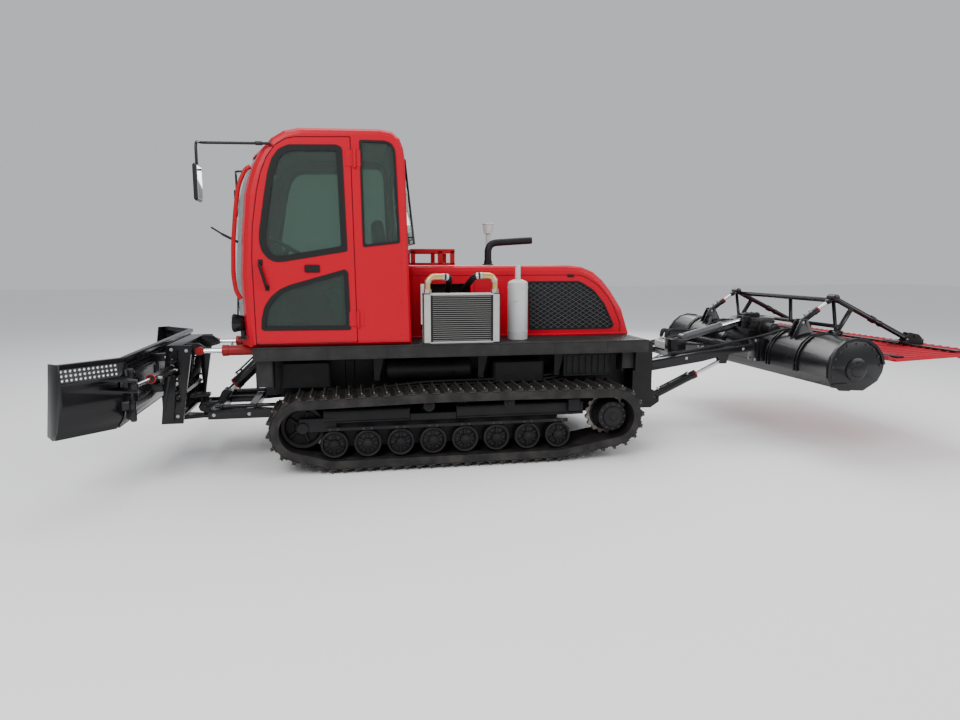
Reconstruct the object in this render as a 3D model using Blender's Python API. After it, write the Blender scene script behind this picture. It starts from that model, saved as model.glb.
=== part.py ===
"""Compact snow groomer on steel tracks: cab, hood, folding-wing blade and rear tiller.

Metres, +Z up. The machine faces -X, its left side is -Y, the ground is z = 0 and the
origin lies on the ground under the middle of the whole machine.
"""
import math

import bmesh
import bpy
from mathutils import Matrix, Vector

# ---------------------------------------------------------------- driving dimensions
GAP = 0.0005             # gap between pieces that touch
PLAY = 0.006             # gap beside a piece that moves
SIDES = {"left": -1.0, "right": 1.0}

# tracks
TRACK_IN = 0.485         # inner edge of a track, from the middle plane
TRACK_OUT = 0.925
BELT = 0.103             # chain, shoe and grouser together
ROLLER_R = 0.105
ROLLER_Z = ROLLER_R + GAP + BELT
ROLLER_FIRST = -1.72
ROLLER_PITCH = 0.2561
ROLLERS = 8
IDLER = (-1.955, 0.340, 0.167)
SPROCKET = (0.528, 0.350, 0.167)
CARRIER_R = 0.045
CARRIER_Z = 0.4835
CARRIERS_X = (-0.98, -0.33)
FRAME_IN = 0.60          # inner face of a track frame
FRAME_OUT = 0.80

# hull and deck
HULL_Y = 0.36
HULL_TOP = 0.80
HULL_FRONT = -1.98
HULL_REAR = 0.86
DECK_FRONT = -2.299
DECK_REAR = 0.859
DECK_Y = 0.80
DECK_LOW = 0.950
DECK_TOP = 0.968
SKIRT_LOW = 0.874

# cab
CAB_Y = 0.779
CAB_WALL = 0.040
CAB_BULGE = 0.17         # forward bow of the front at the middle plane
CAB_PROFILE = (
    (-2.300, 0.970), (-2.319, 1.135), (-2.334, 1.505), (-2.314, 1.810), (-2.284, 2.103),
    (-2.255, 2.215), (-2.218, 2.320), (-2.166, 2.418), (-2.098, 2.500), (-2.010, 2.556),
    (-1.900, 2.581), (-1.320, 2.590), (-1.232, 2.575), (-1.178, 2.528), (-1.150, 2.455),
    (-1.137, 2.360), (-1.104, 0.970),
)
CAB_BOW = (1.0, 1.0, 1.0, 1.0, 1.0, 0.99, 0.95, 0.86, 0.72, 0.50, 0.25, 0.0, 0.0, 0.0, 0.0, 0.0, 0.0)
CAB_EDGE = ((1.0, 0.045), (0.992, 0.020), (0.955, 0.0))   # share of half width, inset
DOOR_OUTLINE = (
    (-1.940, 2.510), (-1.542, 2.522), (-1.522, 0.998), (-2.268, 0.993), (-2.276, 1.629),
    (-2.262, 1.868), (-2.222, 2.120), (-2.190, 2.250), (-2.145, 2.360), (-2.085, 2.445),
    (-2.010, 2.494),
)
UPPER_WINDOW = (
    (-1.985, 2.452), (-1.640, 2.461), (-1.604, 2.440), (-1.584, 1.689), (-2.060, 1.610),
    (-2.110, 1.609), (-2.160, 1.634), (-2.200, 1.685), (-2.216, 1.750), (-2.214, 1.820),
    (-2.167, 2.105), (-2.136, 2.260), (-2.105, 2.352), (-2.055, 2.420),
)
LOWER_WINDOW = (
    (-2.226, 1.112), (-2.212, 1.099), (-1.572, 1.094), (-1.583, 1.530), (-1.604, 1.550),
    (-2.010, 1.435), (-2.085, 1.402), (-2.150, 1.348), (-2.198, 1.275), (-2.220, 1.190),
)
REAR_WINDOW = (
    (-1.464, 1.720), (-1.474, 2.500), (-1.285, 2.500), (-1.243, 2.484), (-1.218, 2.448),
    (-1.211, 2.400), (-1.188, 1.752),
)
DOOR_HINGE = (-1.514, -0.790)
GLASS_IN = 0.012         # glass lies this far inside the outer face
GLASS_T = 0.008

# hood
HOOD_Y = 0.32
HOOD_T = 0.020
HOOD_PROFILE = (
    (-1.094, DECK_TOP + GAP), (-1.094, 1.574), (0.300, 1.580), (0.430, 1.566), (0.539, 1.521),
    (0.630, 1.446), (0.706, 1.354), (0.814, 1.193), (0.887, DECK_TOP + GAP),
)
HOOD_EDGE = ((1.0, 0.045), (0.975, 0.015), (0.90, 0.0))
HOOD_OPENING = (
    (-0.055, 1.440), (0.407, 1.440), (0.538, 1.364), (0.643, 1.239), (0.733, 1.051),
    (0.705, 1.025), (-0.041, 1.025),
)
HOOD_FRONT_OPENING = ((-0.985, 1.030), (-0.560, 1.030), (-0.560, 1.425), (-0.985, 1.425))

# blade: lift pivot, cross knuckle, king pin, upper cylinders, wings
LIFT_PIVOT = (-1.85, 0.40)
KNUCKLE = (-2.80, 0.40)
ARM_IN = 0.400
ARM_OUT = 0.460
LIFT_BASE = (-2.235, 0.870)
LIFT_EYE = (-2.625, 0.500)
ANGLE_BASE = (-2.200, 0.905)
ANGLE_EYE = (-2.760, 0.905)
ANGLE_Y = 0.36
BLADE_BACK = (
    (-3.186, 0.464), (-3.150, 0.520), (-3.122, 0.600), (-3.104, 0.690), (-3.100, 0.780),
    (-3.106, 0.860), (-3.122, 0.955),
)
BLADE_T = 0.016
WING_HINGE = (-3.070, 1.084)
WING_FOLD = math.radians(43.0)      # forward fold as parked
WING_MITRE = math.radians(25.5)     # half of the tightest fold
WING_LENGTH = 0.467
WING_BASE = (-2.930, 0.520, 0.790)  # wing cylinder's pivot on the carrier
WING_LUG = (0.100, 0.200, 0.790)    # along the wing, behind its hinge, height

# tiller: arm pivot, lower cylinders, housing, drum, finisher
ARM_PIVOT = (0.960, 0.690)
ARM_Y = 0.464
ARM_T = 0.060
TILLER_BASE = (1.060, 0.425)
TILLER_EYE = (1.720, 0.732)
DRUM = (2.345, 0.765)
DRUM_R = 0.100
TOOTH_R = 0.170
HOUSING_T = 0.014
HOUSING_Y = 1.393
HOUSING_SHAPE = (
    (2.140, 0.628), (2.105, 0.700), (2.100, 0.790), (2.120, 0.865), (2.165, 0.930), (2.235, 0.985),
    (2.330, 1.005), (2.430, 0.994), (2.510, 0.948), (2.565, 0.880), (2.590, 0.800), (2.580, 0.740),
)
FINISHER_PIVOT = (2.624, 0.985)
FINISHER_Y = 0.774
FINISHER_BASE = (2.278, 1.091)
FINISHER_APEX = (2.572, 1.300)
FINISHER_FOOT = (3.400, 0.900)
MAT_FRONT = (2.700, 0.815)
MAT_REAR = (3.5494, 0.875)
MAT_T = 0.024

BRACE_SHARE = 0.23                  # where a lever's brace meets it, share of its length

# details
COOLER = (-1.015, -0.400, -0.780, -0.705, DECK_TOP + GAP, 1.365)   # x, y, z ranges
MUFFLER = (-0.197, -0.523, 0.0825)                                 # x, y, radius
WINDSHIELD = ((-2.75, -0.665, 1.030), (-2.10, 0.665, 2.400))       # cutter corners
REAR_PANE = ((-1.30, -0.600, 1.740), (-1.05, 0.600, 2.400))
SEAT_X = -1.50
CENTRE_SPANS = ((0.520, 0.590), (0.800, 0.870))    # heights of the centre's hinge tabs
WING_SPANS = ((0.596, 0.656), (0.734, 0.794))      # heights of a wing's hinge tabs

COLLECTION = "snow_groomer"
FINISHES = {
    "red_paint": ((0.62, 0.010, 0.022), 0.28, 0.0),
    "rail_red": ((0.45, 0.012, 0.016), 0.40, 0.0),
    "black_paint": ((0.012, 0.012, 0.015), 0.38, 0.0),
    "chassis_black": ((0.016, 0.016, 0.018), 0.55, 0.0),
    "track_steel": ((0.055, 0.050, 0.046), 0.62, 0.7),
    "deck_plate": ((0.045, 0.043, 0.040), 0.60, 0.2),
    "cylinder_red": ((0.42, 0.020, 0.015), 0.42, 0.0),
    "chrome": ((0.75, 0.75, 0.76), 0.12, 1.0),
    "aluminium": ((0.52, 0.52, 0.51), 0.38, 0.8),
    "light_grey": ((0.52, 0.53, 0.53), 0.48, 0.1),
    "brass_hose": ((0.45, 0.29, 0.10), 0.40, 0.5),
    "glass": ((0.020, 0.030, 0.028), 0.05, 0.0),
    "mat_red": ((0.55, 0.030, 0.045), 0.55, 0.0),
    "seat_fabric": ((0.030, 0.030, 0.034), 0.85, 0.0),
    "cabin_plastic": ((0.028, 0.028, 0.030), 0.60, 0.0),
}


# ---------------------------------------------------------------- scene helpers
def start_scene():
    """Remove every object and make the part's own collection."""
    for item in list(bpy.data.objects):
        bpy.data.objects.remove(item, do_unlink=True)
    collection = bpy.data.collections.new(COLLECTION)
    bpy.context.scene.collection.children.link(collection)
    return collection


def finish_material(name):
    """Principled material for one of the named finishes."""
    material = bpy.data.materials.get(name)
    if material is None:
        color, roughness, metallic = FINISHES[name]
        material = bpy.data.materials.new(name)
        material.use_nodes = True
        shader = material.node_tree.nodes["Principled BSDF"]
        shader.inputs["Base Color"].default_value = (*color, 1.0)
        shader.inputs["Roughness"].default_value = roughness
        shader.inputs["Metallic"].default_value = metallic
    return material


def from_bmesh(bm):
    """Loose working object from a bmesh, linked to the scene."""
    mesh = bpy.data.meshes.new("shape")
    bm.to_mesh(mesh)
    bm.free()
    item = bpy.data.objects.new("shape", mesh)
    bpy.context.scene.collection.objects.link(item)
    return item


def bake(item):
    """Turn a curve or a modified mesh into a plain, welded mesh object."""
    bpy.context.view_layer.update()
    graph = bpy.context.evaluated_depsgraph_get()
    mesh = bpy.data.meshes.new_from_object(item.evaluated_get(graph))
    mesh.transform(item.matrix_world)
    bm = bmesh.new()
    bm.from_mesh(mesh)
    bmesh.ops.remove_doubles(bm, verts=bm.verts, dist=1e-5)
    bmesh.ops.dissolve_degenerate(bm, edges=bm.edges, dist=1e-6)
    bm.to_mesh(mesh)
    bm.free()
    bpy.data.objects.remove(item, do_unlink=True)
    result = bpy.data.objects.new("shape", mesh)
    bpy.context.scene.collection.objects.link(result)
    return result


def boolean(base, others, operation):
    """Join, cut or intersect a working object with others, which are used up."""
    for other in others:
        modifier = base.modifiers.new(operation.lower(), "BOOLEAN")
        modifier.operation = operation
        modifier.solver = "EXACT"
        modifier.object = other
        base = bake(base)
        bpy.data.objects.remove(other, do_unlink=True)
    return base


def join(shapes):
    """One closed body from overlapping shapes."""
    return boolean(shapes[0], shapes[1:], "UNION")


def cut(base, cutters):
    """Take the cutters out of a shape."""
    return boolean(base, cutters, "DIFFERENCE")


def common(base, other):
    """What two shapes share."""
    return boolean(base, [other], "INTERSECT")


def node(shape, name, finish, pivot=None):
    """Name a finished shape, give it its material and put its origin on its pivot."""
    collection = bpy.data.collections[COLLECTION]
    bpy.context.scene.collection.objects.unlink(shape)
    collection.objects.link(shape)
    shape.name = name
    shape.data.name = name
    shape.data.materials.clear()
    shape.data.materials.append(finish_material(finish))
    shape.data.shade_smooth()
    shape.data.set_sharp_from_angle(angle=math.radians(32.0))
    if pivot is not None:
        holder = bpy.data.objects.get(pivot)
        shape.data.transform(Matrix.Translation(-holder.location))
        shape.parent = holder
    return shape


def pivot_point(name, location):
    """Empty on a joint's axis, the parent of the pieces that the joint moves."""
    holder = bpy.data.objects.new(name, None)
    holder.empty_display_size = 0.1
    holder.location = location
    bpy.data.collections[COLLECTION].objects.link(holder)
    return name


# ---------------------------------------------------------------- shapes
def box(low, high):
    """Box between two corners, given in any order."""
    low_corner = Vector(min(a, b) for a, b in zip(low, high))
    high_corner = Vector(max(a, b) for a, b in zip(low, high))
    bm = bmesh.new()
    bmesh.ops.create_cube(bm, size=1.0)
    bmesh.ops.scale(bm, vec=high_corner - low_corner, verts=bm.verts)
    bmesh.ops.translate(bm, vec=(low_corner + high_corner) / 2.0, verts=bm.verts)
    return from_bmesh(bm)


def rod(start, end, radius, sides=10, end_radius=None):
    """Round bar between two points."""
    start = Vector(start)
    axis = Vector(end) - start
    bm = bmesh.new()
    bmesh.ops.create_cone(
        bm, cap_ends=True, segments=sides, radius1=radius,
        radius2=radius if end_radius is None else end_radius, depth=axis.length,
    )
    turn = axis.to_track_quat("Z", "Y").to_matrix().to_4x4()
    bmesh.ops.transform(bm, matrix=Matrix.Translation(start + axis / 2.0) @ turn, verts=bm.verts)
    return from_bmesh(bm)


def cross_rod(x, z, y_start, y_end, radius, sides=10):
    """Round bar along Y."""
    return rod((x, y_start, z), (x, y_end, z), radius, sides)


PLANES = {
    "XZ": Matrix(((1, 0, 0, 0), (0, 0, -1, 0), (0, 1, 0, 0), (0, 0, 0, 1))),
    "XY": Matrix.Identity(4),
    "YZ": Matrix(((0, 0, 1, 0), (1, 0, 0, 0), (0, 1, 0, 0), (0, 0, 0, 1))),
}


def circle_points(center, radius, count=10):
    """Points round a circle, in the plane of the outline."""
    step = 2.0 * math.pi / count
    return [
        (center[0] + radius * math.cos(step * i), center[1] + radius * math.sin(step * i))
        for i in range(count)
    ]


def prism(outlines, plane, start, end):
    """Flat outline with optional holes, extruded across its plane from start to end."""
    curve = bpy.data.curves.new("outline", "CURVE")
    curve.dimensions = "2D"
    curve.fill_mode = "BOTH"
    curve.extrude = abs(end - start) / 2.0
    for outline in outlines:
        spline = curve.splines.new("POLY")
        spline.points.add(len(outline) - 1)
        for point, (u, v) in zip(spline.points, outline):
            point.co = (u, v, 0.0, 1.0)
        spline.use_cyclic_u = True
    item = bpy.data.objects.new("outline", curve)
    bpy.context.scene.collection.objects.link(item)
    middle = (start + end) / 2.0
    offset = {"XZ": (0.0, middle, 0.0), "XY": (0.0, 0.0, middle), "YZ": (middle, 0.0, 0.0)}
    item.matrix_world = Matrix.Translation(offset[plane]) @ PLANES[plane]
    return bake(item)


def plate(outline, side, y_in, y_out, holes=()):
    """Upright plate beside the middle plane, with round holes (x, z, radius)."""
    rings = [outline] + [circle_points((x, z), radius) for x, z, radius in holes]
    return prism(rings, "XZ", side * y_in, side * y_out)


def tube(points, radius, resolution=1):
    """Bent round bar along a line of points."""
    curve = bpy.data.curves.new("tube", "CURVE")
    curve.dimensions = "3D"
    curve.bevel_depth = radius
    curve.bevel_resolution = resolution
    curve.use_fill_caps = True
    spline = curve.splines.new("POLY")
    spline.points.add(len(points) - 1)
    for point, place in zip(spline.points, points):
        point.co = (*place, 1.0)
    item = bpy.data.objects.new("tube", curve)
    bpy.context.scene.collection.objects.link(item)
    return bake(item)


def rounded_path(corners, radius, steps=4):
    """Line of points with each inner corner replaced by an arc-like bend."""
    corners = [Vector(corner) for corner in corners]
    path = [corners[0]]
    for before, corner, after in zip(corners, corners[1:], corners[2:]):
        reach = min(radius, (before - corner).length / 2.0, (after - corner).length / 2.0)
        first = corner + (before - corner).normalized() * reach
        last = corner + (after - corner).normalized() * reach
        for i in range(steps + 1):
            t = i / steps
            path.append(first * (1 - t) ** 2 + corner * 2 * t * (1 - t) + last * t ** 2)
    path.append(corners[-1])
    return path


def inset(outline, distance):
    """Convex outline moved inwards by a distance."""
    area = sum(a[0] * b[1] - b[0] * a[1] for a, b in zip(outline, outline[1:] + outline[:1]))
    turn = 1.0 if area > 0 else -1.0
    moved = []
    count = len(outline)
    for i, corner in enumerate(outline):
        before = Vector(outline[i - 1])
        here = Vector(corner)
        after = Vector(outline[(i + 1) % count])
        edge_in = (here - before).normalized()
        edge_out = (after - here).normalized()
        normal_in = Vector((-edge_in.y, edge_in.x)) * turn
        normal_out = Vector((-edge_out.y, edge_out.x)) * turn
        bisector = (normal_in + normal_out).normalized()
        reach = distance / max(bisector.dot(normal_in), 0.3)
        moved.append(tuple(here + bisector * reach))
    return moved


def loft(rings):
    """Closed body through rings of equal point counts, capped at both ends."""
    bm = bmesh.new()
    rows = [[bm.verts.new(point) for point in ring] for ring in rings]
    for row, following in zip(rows, rows[1:]):
        for i in range(len(row)):
            j = (i + 1) % len(row)
            bm.faces.new((row[i], row[j], following[j], following[i]))
    bm.faces.new(rows[0])
    bm.faces.new(list(reversed(rows[-1])))
    bmesh.ops.recalc_face_normals(bm, faces=bm.faces)
    return from_bmesh(bm)


def body_stations(half_width, edge, shrink):
    """Y stations with their insets, rounded off towards both sides."""
    outer = [(-share * half_width, extra) for share, extra in edge]
    middle = [(share * edge[-1][0] * half_width, 0.0) for share in (-0.6, -0.2, 0.2, 0.6)]
    inner = [(share * half_width, extra) for share, extra in reversed(edge)]
    scale = (half_width - shrink) / half_width
    return [(y * scale, extra + shrink) for y, extra in outer + middle + inner]


def cab_body(shrink):
    """The cab's outer shape, moved inwards by a distance."""
    rings = []
    for y, extra in body_stations(CAB_Y, CAB_EDGE, shrink):
        bow = CAB_BULGE * (1.0 - (y / CAB_Y) ** 2)
        outline = inset(list(CAB_PROFILE), extra)
        rings.append([
            (x - share * bow, y, z) for (x, z), share in zip(outline, CAB_BOW)
        ])
    return loft(rings)


def cab_skin(outside, inside):
    """Layer of the cab's wall between two depths below its outer face."""
    return cut(cab_body(outside), [cab_body(inside)])


# ---------------------------------------------------------------- tracks and hull
def belt_loop(offset):
    """Convex outline round the track's wheels at a distance from the belt's inner face."""
    last = ROLLER_FIRST + (ROLLERS - 1) * ROLLER_PITCH
    wheels = [IDLER, SPROCKET, (ROLLER_FIRST, ROLLER_Z, ROLLER_R), (last, ROLLER_Z, ROLLER_R)]
    wheels += [(x, CARRIER_Z, CARRIER_R) for x in CARRIERS_X]
    points = []
    for x, z, radius in wheels:
        points += circle_points((x, z), radius + GAP + offset, 48)
    points = sorted(set((round(x, 6), round(z, 6)) for x, z in points))

    def half(ordered):
        chain = []
        for point in ordered:
            while len(chain) > 1:
                (ax, az), (bx, bz) = chain[-2], chain[-1]
                if (bx - ax) * (point[1] - az) - (bz - az) * (point[0] - ax) > 0:
                    break
                chain.pop()
            chain.append(point)
        return chain[:-1]

    return half(points) + half(points[::-1])


def make_track(name, side):
    """One endless track, solid through its shoes and grousers."""
    loop = prism([belt_loop(BELT), belt_loop(0.0)], "XZ", side * TRACK_IN, side * TRACK_OUT)
    node(loop, "track_" + name, "track_steel")


def make_track_frame(name, side):
    """Side frame with its rollers, idler, carrier rollers and driven sprocket."""
    def bar(x, z, y_in, y_out, radius, sides=12):
        return cross_rod(x, z, side * y_in, side * y_out, radius, sides)

    def block(x0, x1, y_in, y_out, z0, z1):
        return box((x0, side * y_in, z0), (x1, side * y_out, z1))

    last = ROLLER_FIRST + (ROLLERS - 1) * ROLLER_PITCH
    shapes = [
        block(-1.80, 0.30, FRAME_IN, FRAME_OUT, 0.365, 0.475),
        block(ROLLER_FIRST - 0.03, last + 0.03, 0.69, 0.715, 0.16, 0.37),
    ]
    for i in range(ROLLERS):
        shapes.append(bar(ROLLER_FIRST + i * ROLLER_PITCH, ROLLER_Z, 0.575, 0.835, ROLLER_R, 14))
    for x in CARRIERS_X:
        shapes.append(bar(x, CARRIER_Z, 0.58, 0.82, CARRIER_R, 10))
    x, z, radius = IDLER
    shapes.append(bar(x, z, 0.635, 0.765, radius, 16))
    shapes.append(bar(x, z, 0.590, 0.820, 0.045, 8))
    for y_in in (0.597, 0.783):
        shapes.append(block(x - 0.03, -1.70, y_in, y_in + 0.02, z - 0.035, z + 0.075))
    x, z, radius = SPROCKET
    shapes.append(bar(x, z, 0.665, 0.735, radius, 16))
    shapes.append(bar(x, z, 0.640, 0.870, 0.125, 14))
    shapes.append(bar(x, z, HULL_Y + GAP, 0.680, 0.100, 12))
    shapes.append(block(0.24, x, 0.612, 0.652, z - 0.01, z + 0.11))
    node(join(shapes), "track_frame_" + name, "chassis_black")


def make_main_frame():
    """Hull between the tracks with front posts, cylinder lugs, cross beams and rear tower."""
    outline = [
        (HULL_FRONT, 0.37), (-1.80, 0.29), (0.70, 0.29), (HULL_REAR, 0.40), (HULL_REAR, HULL_TOP),
        (HULL_FRONT, HULL_TOP),
    ]
    shapes = [prism([outline], "XZ", -HULL_Y, HULL_Y)]
    for x in (-1.90, -1.00, -0.10, 0.70):
        shapes.append(box((x, -0.33, 0.78), (x + 0.08, 0.33, DECK_LOW - GAP)))
    for side in SIDES.values():
        x, z = LIFT_PIVOT
        shapes.append(cross_rod(x, z, side * 0.34, side * 0.476, 0.025))
        for beam_x in (-1.50, -0.20):
            shapes.append(box(
                (beam_x, side * 0.34, 0.380), (beam_x + 0.14, side * (FRAME_IN - GAP), 0.460)))
        shapes.append(box((-2.27, side * 0.10, 0.52), (-1.96, side * 0.28, 0.86)))
        shapes.append(box((-2.14, side * 0.26, 0.79), (-2.07, side * 0.415, 0.855)))
        for y_in in (ANGLE_Y - 0.060, ANGLE_Y + 0.048):
            x, z = ANGLE_BASE
            lug = [(x - 0.035, z - 0.03), (-2.10, 0.80), (-2.08, 0.80), (-2.08, 0.93),
                   (x - 0.02, z + 0.032), (x - 0.035, z + 0.015)]
            shapes.append(plate(lug, side, y_in, y_in + 0.012, [(x, z, 0.0165)]))
    x, z = LIFT_BASE
    shapes.append(box((-2.17, -0.12, 0.80), (-2.12, 0.12, 0.90)))
    for side in SIDES.values():
        lug = [(x - 0.035, z - 0.03), (-2.15, 0.81), (-2.15, 0.895), (x - 0.015, z + 0.034),
               (x - 0.035, z + 0.02)]
        shapes.append(plate(lug, side, 0.056, 0.070, [(x, z, 0.0165)]))
    shapes += rear_tower_shapes()
    node(join(shapes), "main_frame", "chassis_black")


def rear_tower_shapes():
    """Upright rear frame that carries the lift arms and the lower cylinders."""
    shapes = [
        box((0.84, -0.532, 0.335), (0.88, 0.532, 0.925)),
        box((0.87, -0.41, 0.860), (1.01, 0.41, 0.925)),
        box((0.87, -0.41, 0.335), (1.00, 0.41, 0.385)),
    ]
    tower = [(0.86, 0.335), (1.02, 0.335), (1.095, 0.385), (1.095, 0.460), (1.02, 0.500),
             (1.02, 0.925), (0.86, 0.925)]
    for side in SIDES.values():
        for y_in in (0.400, 0.506):
            shapes.append(plate(tower, side, y_in, y_in + 0.024, [(*TILLER_BASE, 0.0165)]))
        shapes.append(cross_rod(*ARM_PIVOT, side * 0.41, side * 0.52, 0.025))
    return shapes


def make_deck():
    """Deck plate with its rim, notched over the upper blade cylinders."""
    shapes = [box((DECK_FRONT, -DECK_Y, DECK_LOW), (DECK_REAR, DECK_Y, DECK_TOP))]
    for side in SIDES.values():
        shapes.append(box(
            (DECK_FRONT, side * (DECK_Y - 0.045), SKIRT_LOW), (DECK_REAR, side * DECK_Y, DECK_TOP)))
        shapes.append(box((-2.285, side * 0.62, 0.66), (-2.165, side * 0.74, DECK_TOP - 0.002)))
        shapes.append(box((0.655, side * 0.60, 0.72), (0.775, side * 0.70, DECK_TOP - 0.002)))
    shapes.append(box((DECK_REAR - 0.04, -DECK_Y, 0.927), (DECK_REAR, DECK_Y, DECK_TOP)))
    deck = join(shapes)
    notches = [
        box((DECK_FRONT - 0.1, side * (ANGLE_Y - 0.065), 0.90), (-2.13, side * (ANGLE_Y + 0.065), 1.0))
        for side in SIDES.values()
    ]
    node(cut(deck, notches), "deck", "deck_plate")


# ---------------------------------------------------------------- engine bay
def hood_body(shrink, bottom):
    """The hood's outer shape moved inwards, with its foot at a given height."""
    rings = []
    for y, extra in body_stations(HOOD_Y, HOOD_EDGE, shrink):
        outline = inset(list(HOOD_PROFILE), extra)
        outline = [(x, bottom if z < 1.05 else z) for x, z in outline]
        rings.append([(x, y, z) for x, z in outline])
    return loft(rings)


def make_hood():
    """Long red hood over the engine, with mesh-covered side openings."""
    hood = cut(hood_body(0.0, DECK_TOP + GAP), [hood_body(HOOD_T, 0.90)])
    openings = [
        prism([list(HOOD_OPENING)], "XZ", -1.0, 1.0),
        prism([list(HOOD_FRONT_OPENING)], "XZ", -1.0, 1.0),
    ]
    node(cut(hood, openings), "hood", "red_paint")
    for name, side in SIDES.items():
        panel = prism([inset(list(HOOD_OPENING), GAP)], "XZ", side * 0.304, side * 0.312)
        node(panel, "hood_grille_" + name, "black_paint")
    node(box((-0.90, -0.20, DECK_TOP + GAP), (0.45, 0.20, 1.42)), "engine_block", "chassis_black")


def make_guard_frame():
    """Low rack on the hood behind the cab."""
    low = 1.5795
    bars = []
    for side in SIDES.values():
        bars.append(box((-1.060, side * 0.240, 1.690), (-0.688, side * 0.270, 1.716)))
        bars.append(box((-1.060, side * 0.240, low), (-0.688, side * 0.270, low + 0.02)))
        for x in (-1.055, -0.820, -0.716):
            bars.append(box((x, side * 0.243, low + 0.01), (x + 0.022, side * 0.267, 1.70)))
    for x in (-1.055, -0.716):
        bars.append(box((x + 0.001, -0.255, 1.693), (x + 0.021, 0.255, 1.713)))
    node(join(bars), "guard_frame", "red_paint")


def make_cooler():
    """Upright oil cooler at the deck's left edge, with its pipes into the hood."""
    x0, x1, y0, y1, z0, z1 = COOLER
    core = join([
        box((x0 + 0.07, y0 + 0.012, z0 + 0.012), (x1 - 0.07, y1 - 0.012, z1 - 0.012)),
        box((x0, y0, z0), (x0 + 0.075, y1, z1)),
        box((x1 - 0.075, y0, z0), (x1, y1, z1)),
        box((x0, y0 + 0.006, z0), (x1, y1 - 0.006, z0 + 0.02)),
        box((x0, y0 + 0.006, z1 - 0.02), (x1, y1 - 0.006, z1)),
    ])
    node(core, "oil_cooler", "aluminium")
    middle_y = (y0 + y1) / 2.0
    start = z1 + GAP
    front = rounded_path(
        [(-0.975, middle_y, start), (-0.975, middle_y, 1.492), (-0.800, middle_y, 1.492),
         (-0.780, -0.52, 1.400), (-0.780, -0.24, 1.300)], 0.055, 2)
    rear = rounded_path(
        [(-0.440, middle_y, start), (-0.440, middle_y, 1.500), (-0.600, middle_y, 1.500),
         (-0.640, -0.52, 1.400), (-0.640, -0.24, 1.300)], 0.055, 2)
    link = [(-0.800, -0.250, 1.305), (-0.620, -0.250, 1.305)]
    hoses = join([tube(front, 0.024, 1), tube(rear, 0.024, 1), tube(link, 0.020, 1)])
    node(hoses, "cooler_hoses", "brass_hose")


def make_pipes():
    """Grey canister, exhaust elbow and air pre-cleaner."""
    x, y, radius = MUFFLER
    low = DECK_TOP + GAP
    canister = join([
        rod((x, y, low), (x, y, 1.435), radius, 18),
        rod((x, y, 1.435), (x, y, 1.464), radius, 18, 0.045),
        rod((x, y, 1.45), (x, y, 1.583), 0.022, 10),
    ])
    node(canister, "muffler", "light_grey")
    path = rounded_path([(-0.345, 0.0, 1.5815), (-0.345, 0.0, 1.775), (0.055, 0.0, 1.802)], 0.07, 3)
    node(tube(path, 0.031, 2), "exhaust_pipe", "chassis_black")
    cleaner = join([
        rod((-0.320, 0.12, 1.5815), (-0.320, 0.12, 1.87), 0.022, 10),
        rod((-0.320, 0.12, 1.86), (-0.320, 0.12, 1.945), 0.040, 14, 0.050),
        rod((-0.320, 0.12, 1.944), (-0.320, 0.12, 1.958), 0.055, 14),
    ])
    node(cleaner, "air_cleaner", "light_grey")


# ---------------------------------------------------------------- cab
def window_cutters(side):
    """Prisms through the side wall at the fixed windows of one side."""
    outlines = [REAR_WINDOW] if side < 0 else [REAR_WINDOW, UPPER_WINDOW]
    return [prism([list(outline)], "XZ", side * 0.70, side * 0.85) for outline in outlines]


def make_cab():
    """Hollow cab with its windows, door and glass."""
    shell = cab_skin(0.0, CAB_WALL)
    cutters = [prism([inset(list(DOOR_OUTLINE), -PLAY / 2.0)], "XZ", -0.90, -0.694)]
    cutters += [box(*WINDSHIELD), box(*REAR_PANE)]
    for side in SIDES.values():
        cutters += window_cutters(side)
    shell = cut(shell, cutters)
    node(shell, "cab_shell", "red_paint")

    door = common(
        cab_skin(0.0, CAB_WALL), prism([inset(list(DOOR_OUTLINE), PLAY / 2.0)], "XZ", -0.90, -0.70))
    windows = [prism([list(outline)], "XZ", -0.90, -0.68) for outline in (UPPER_WINDOW, LOWER_WINDOW)]
    pivot_point("axis_door", (*DOOR_HINGE, 1.60))
    node(cut(door, windows), "cab_door", "red_paint", "axis_door")
    for name, outline in (("door_glass_upper", UPPER_WINDOW), ("door_glass_lower", LOWER_WINDOW)):
        pane = prism([inset(list(outline), GAP)], "XZ", -(CAB_Y - GLASS_IN), -(CAB_Y - GLASS_IN - GLASS_T))
        node(pane, name, "glass", "axis_door")

    for name, (low, high) in (("windshield", WINDSHIELD), ("rear_glass", REAR_PANE)):
        low = Vector(low) + Vector((GAP, GAP, GAP))
        high = Vector(high) - Vector((GAP, GAP, GAP))
        pane = common(cab_skin(GLASS_IN, GLASS_IN + GLASS_T), box(low, high))
        node(pane, name, "glass")
    depth = CAB_Y - GLASS_IN
    pane = prism([inset(list(REAR_WINDOW), GAP)], "XZ", -depth, -(depth - GLASS_T))
    node(pane, "side_glass_left", "glass")
    panes = [
        prism([inset(list(outline), GAP)], "XZ", depth, 0.735)
        for outline in (REAR_WINDOW, UPPER_WINDOW)
    ]
    panes.append(box((-1.75, 0.7385, 1.80), (-1.30, 0.7325, 2.35)))
    node(join(panes), "side_glass_right", "glass")


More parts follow.
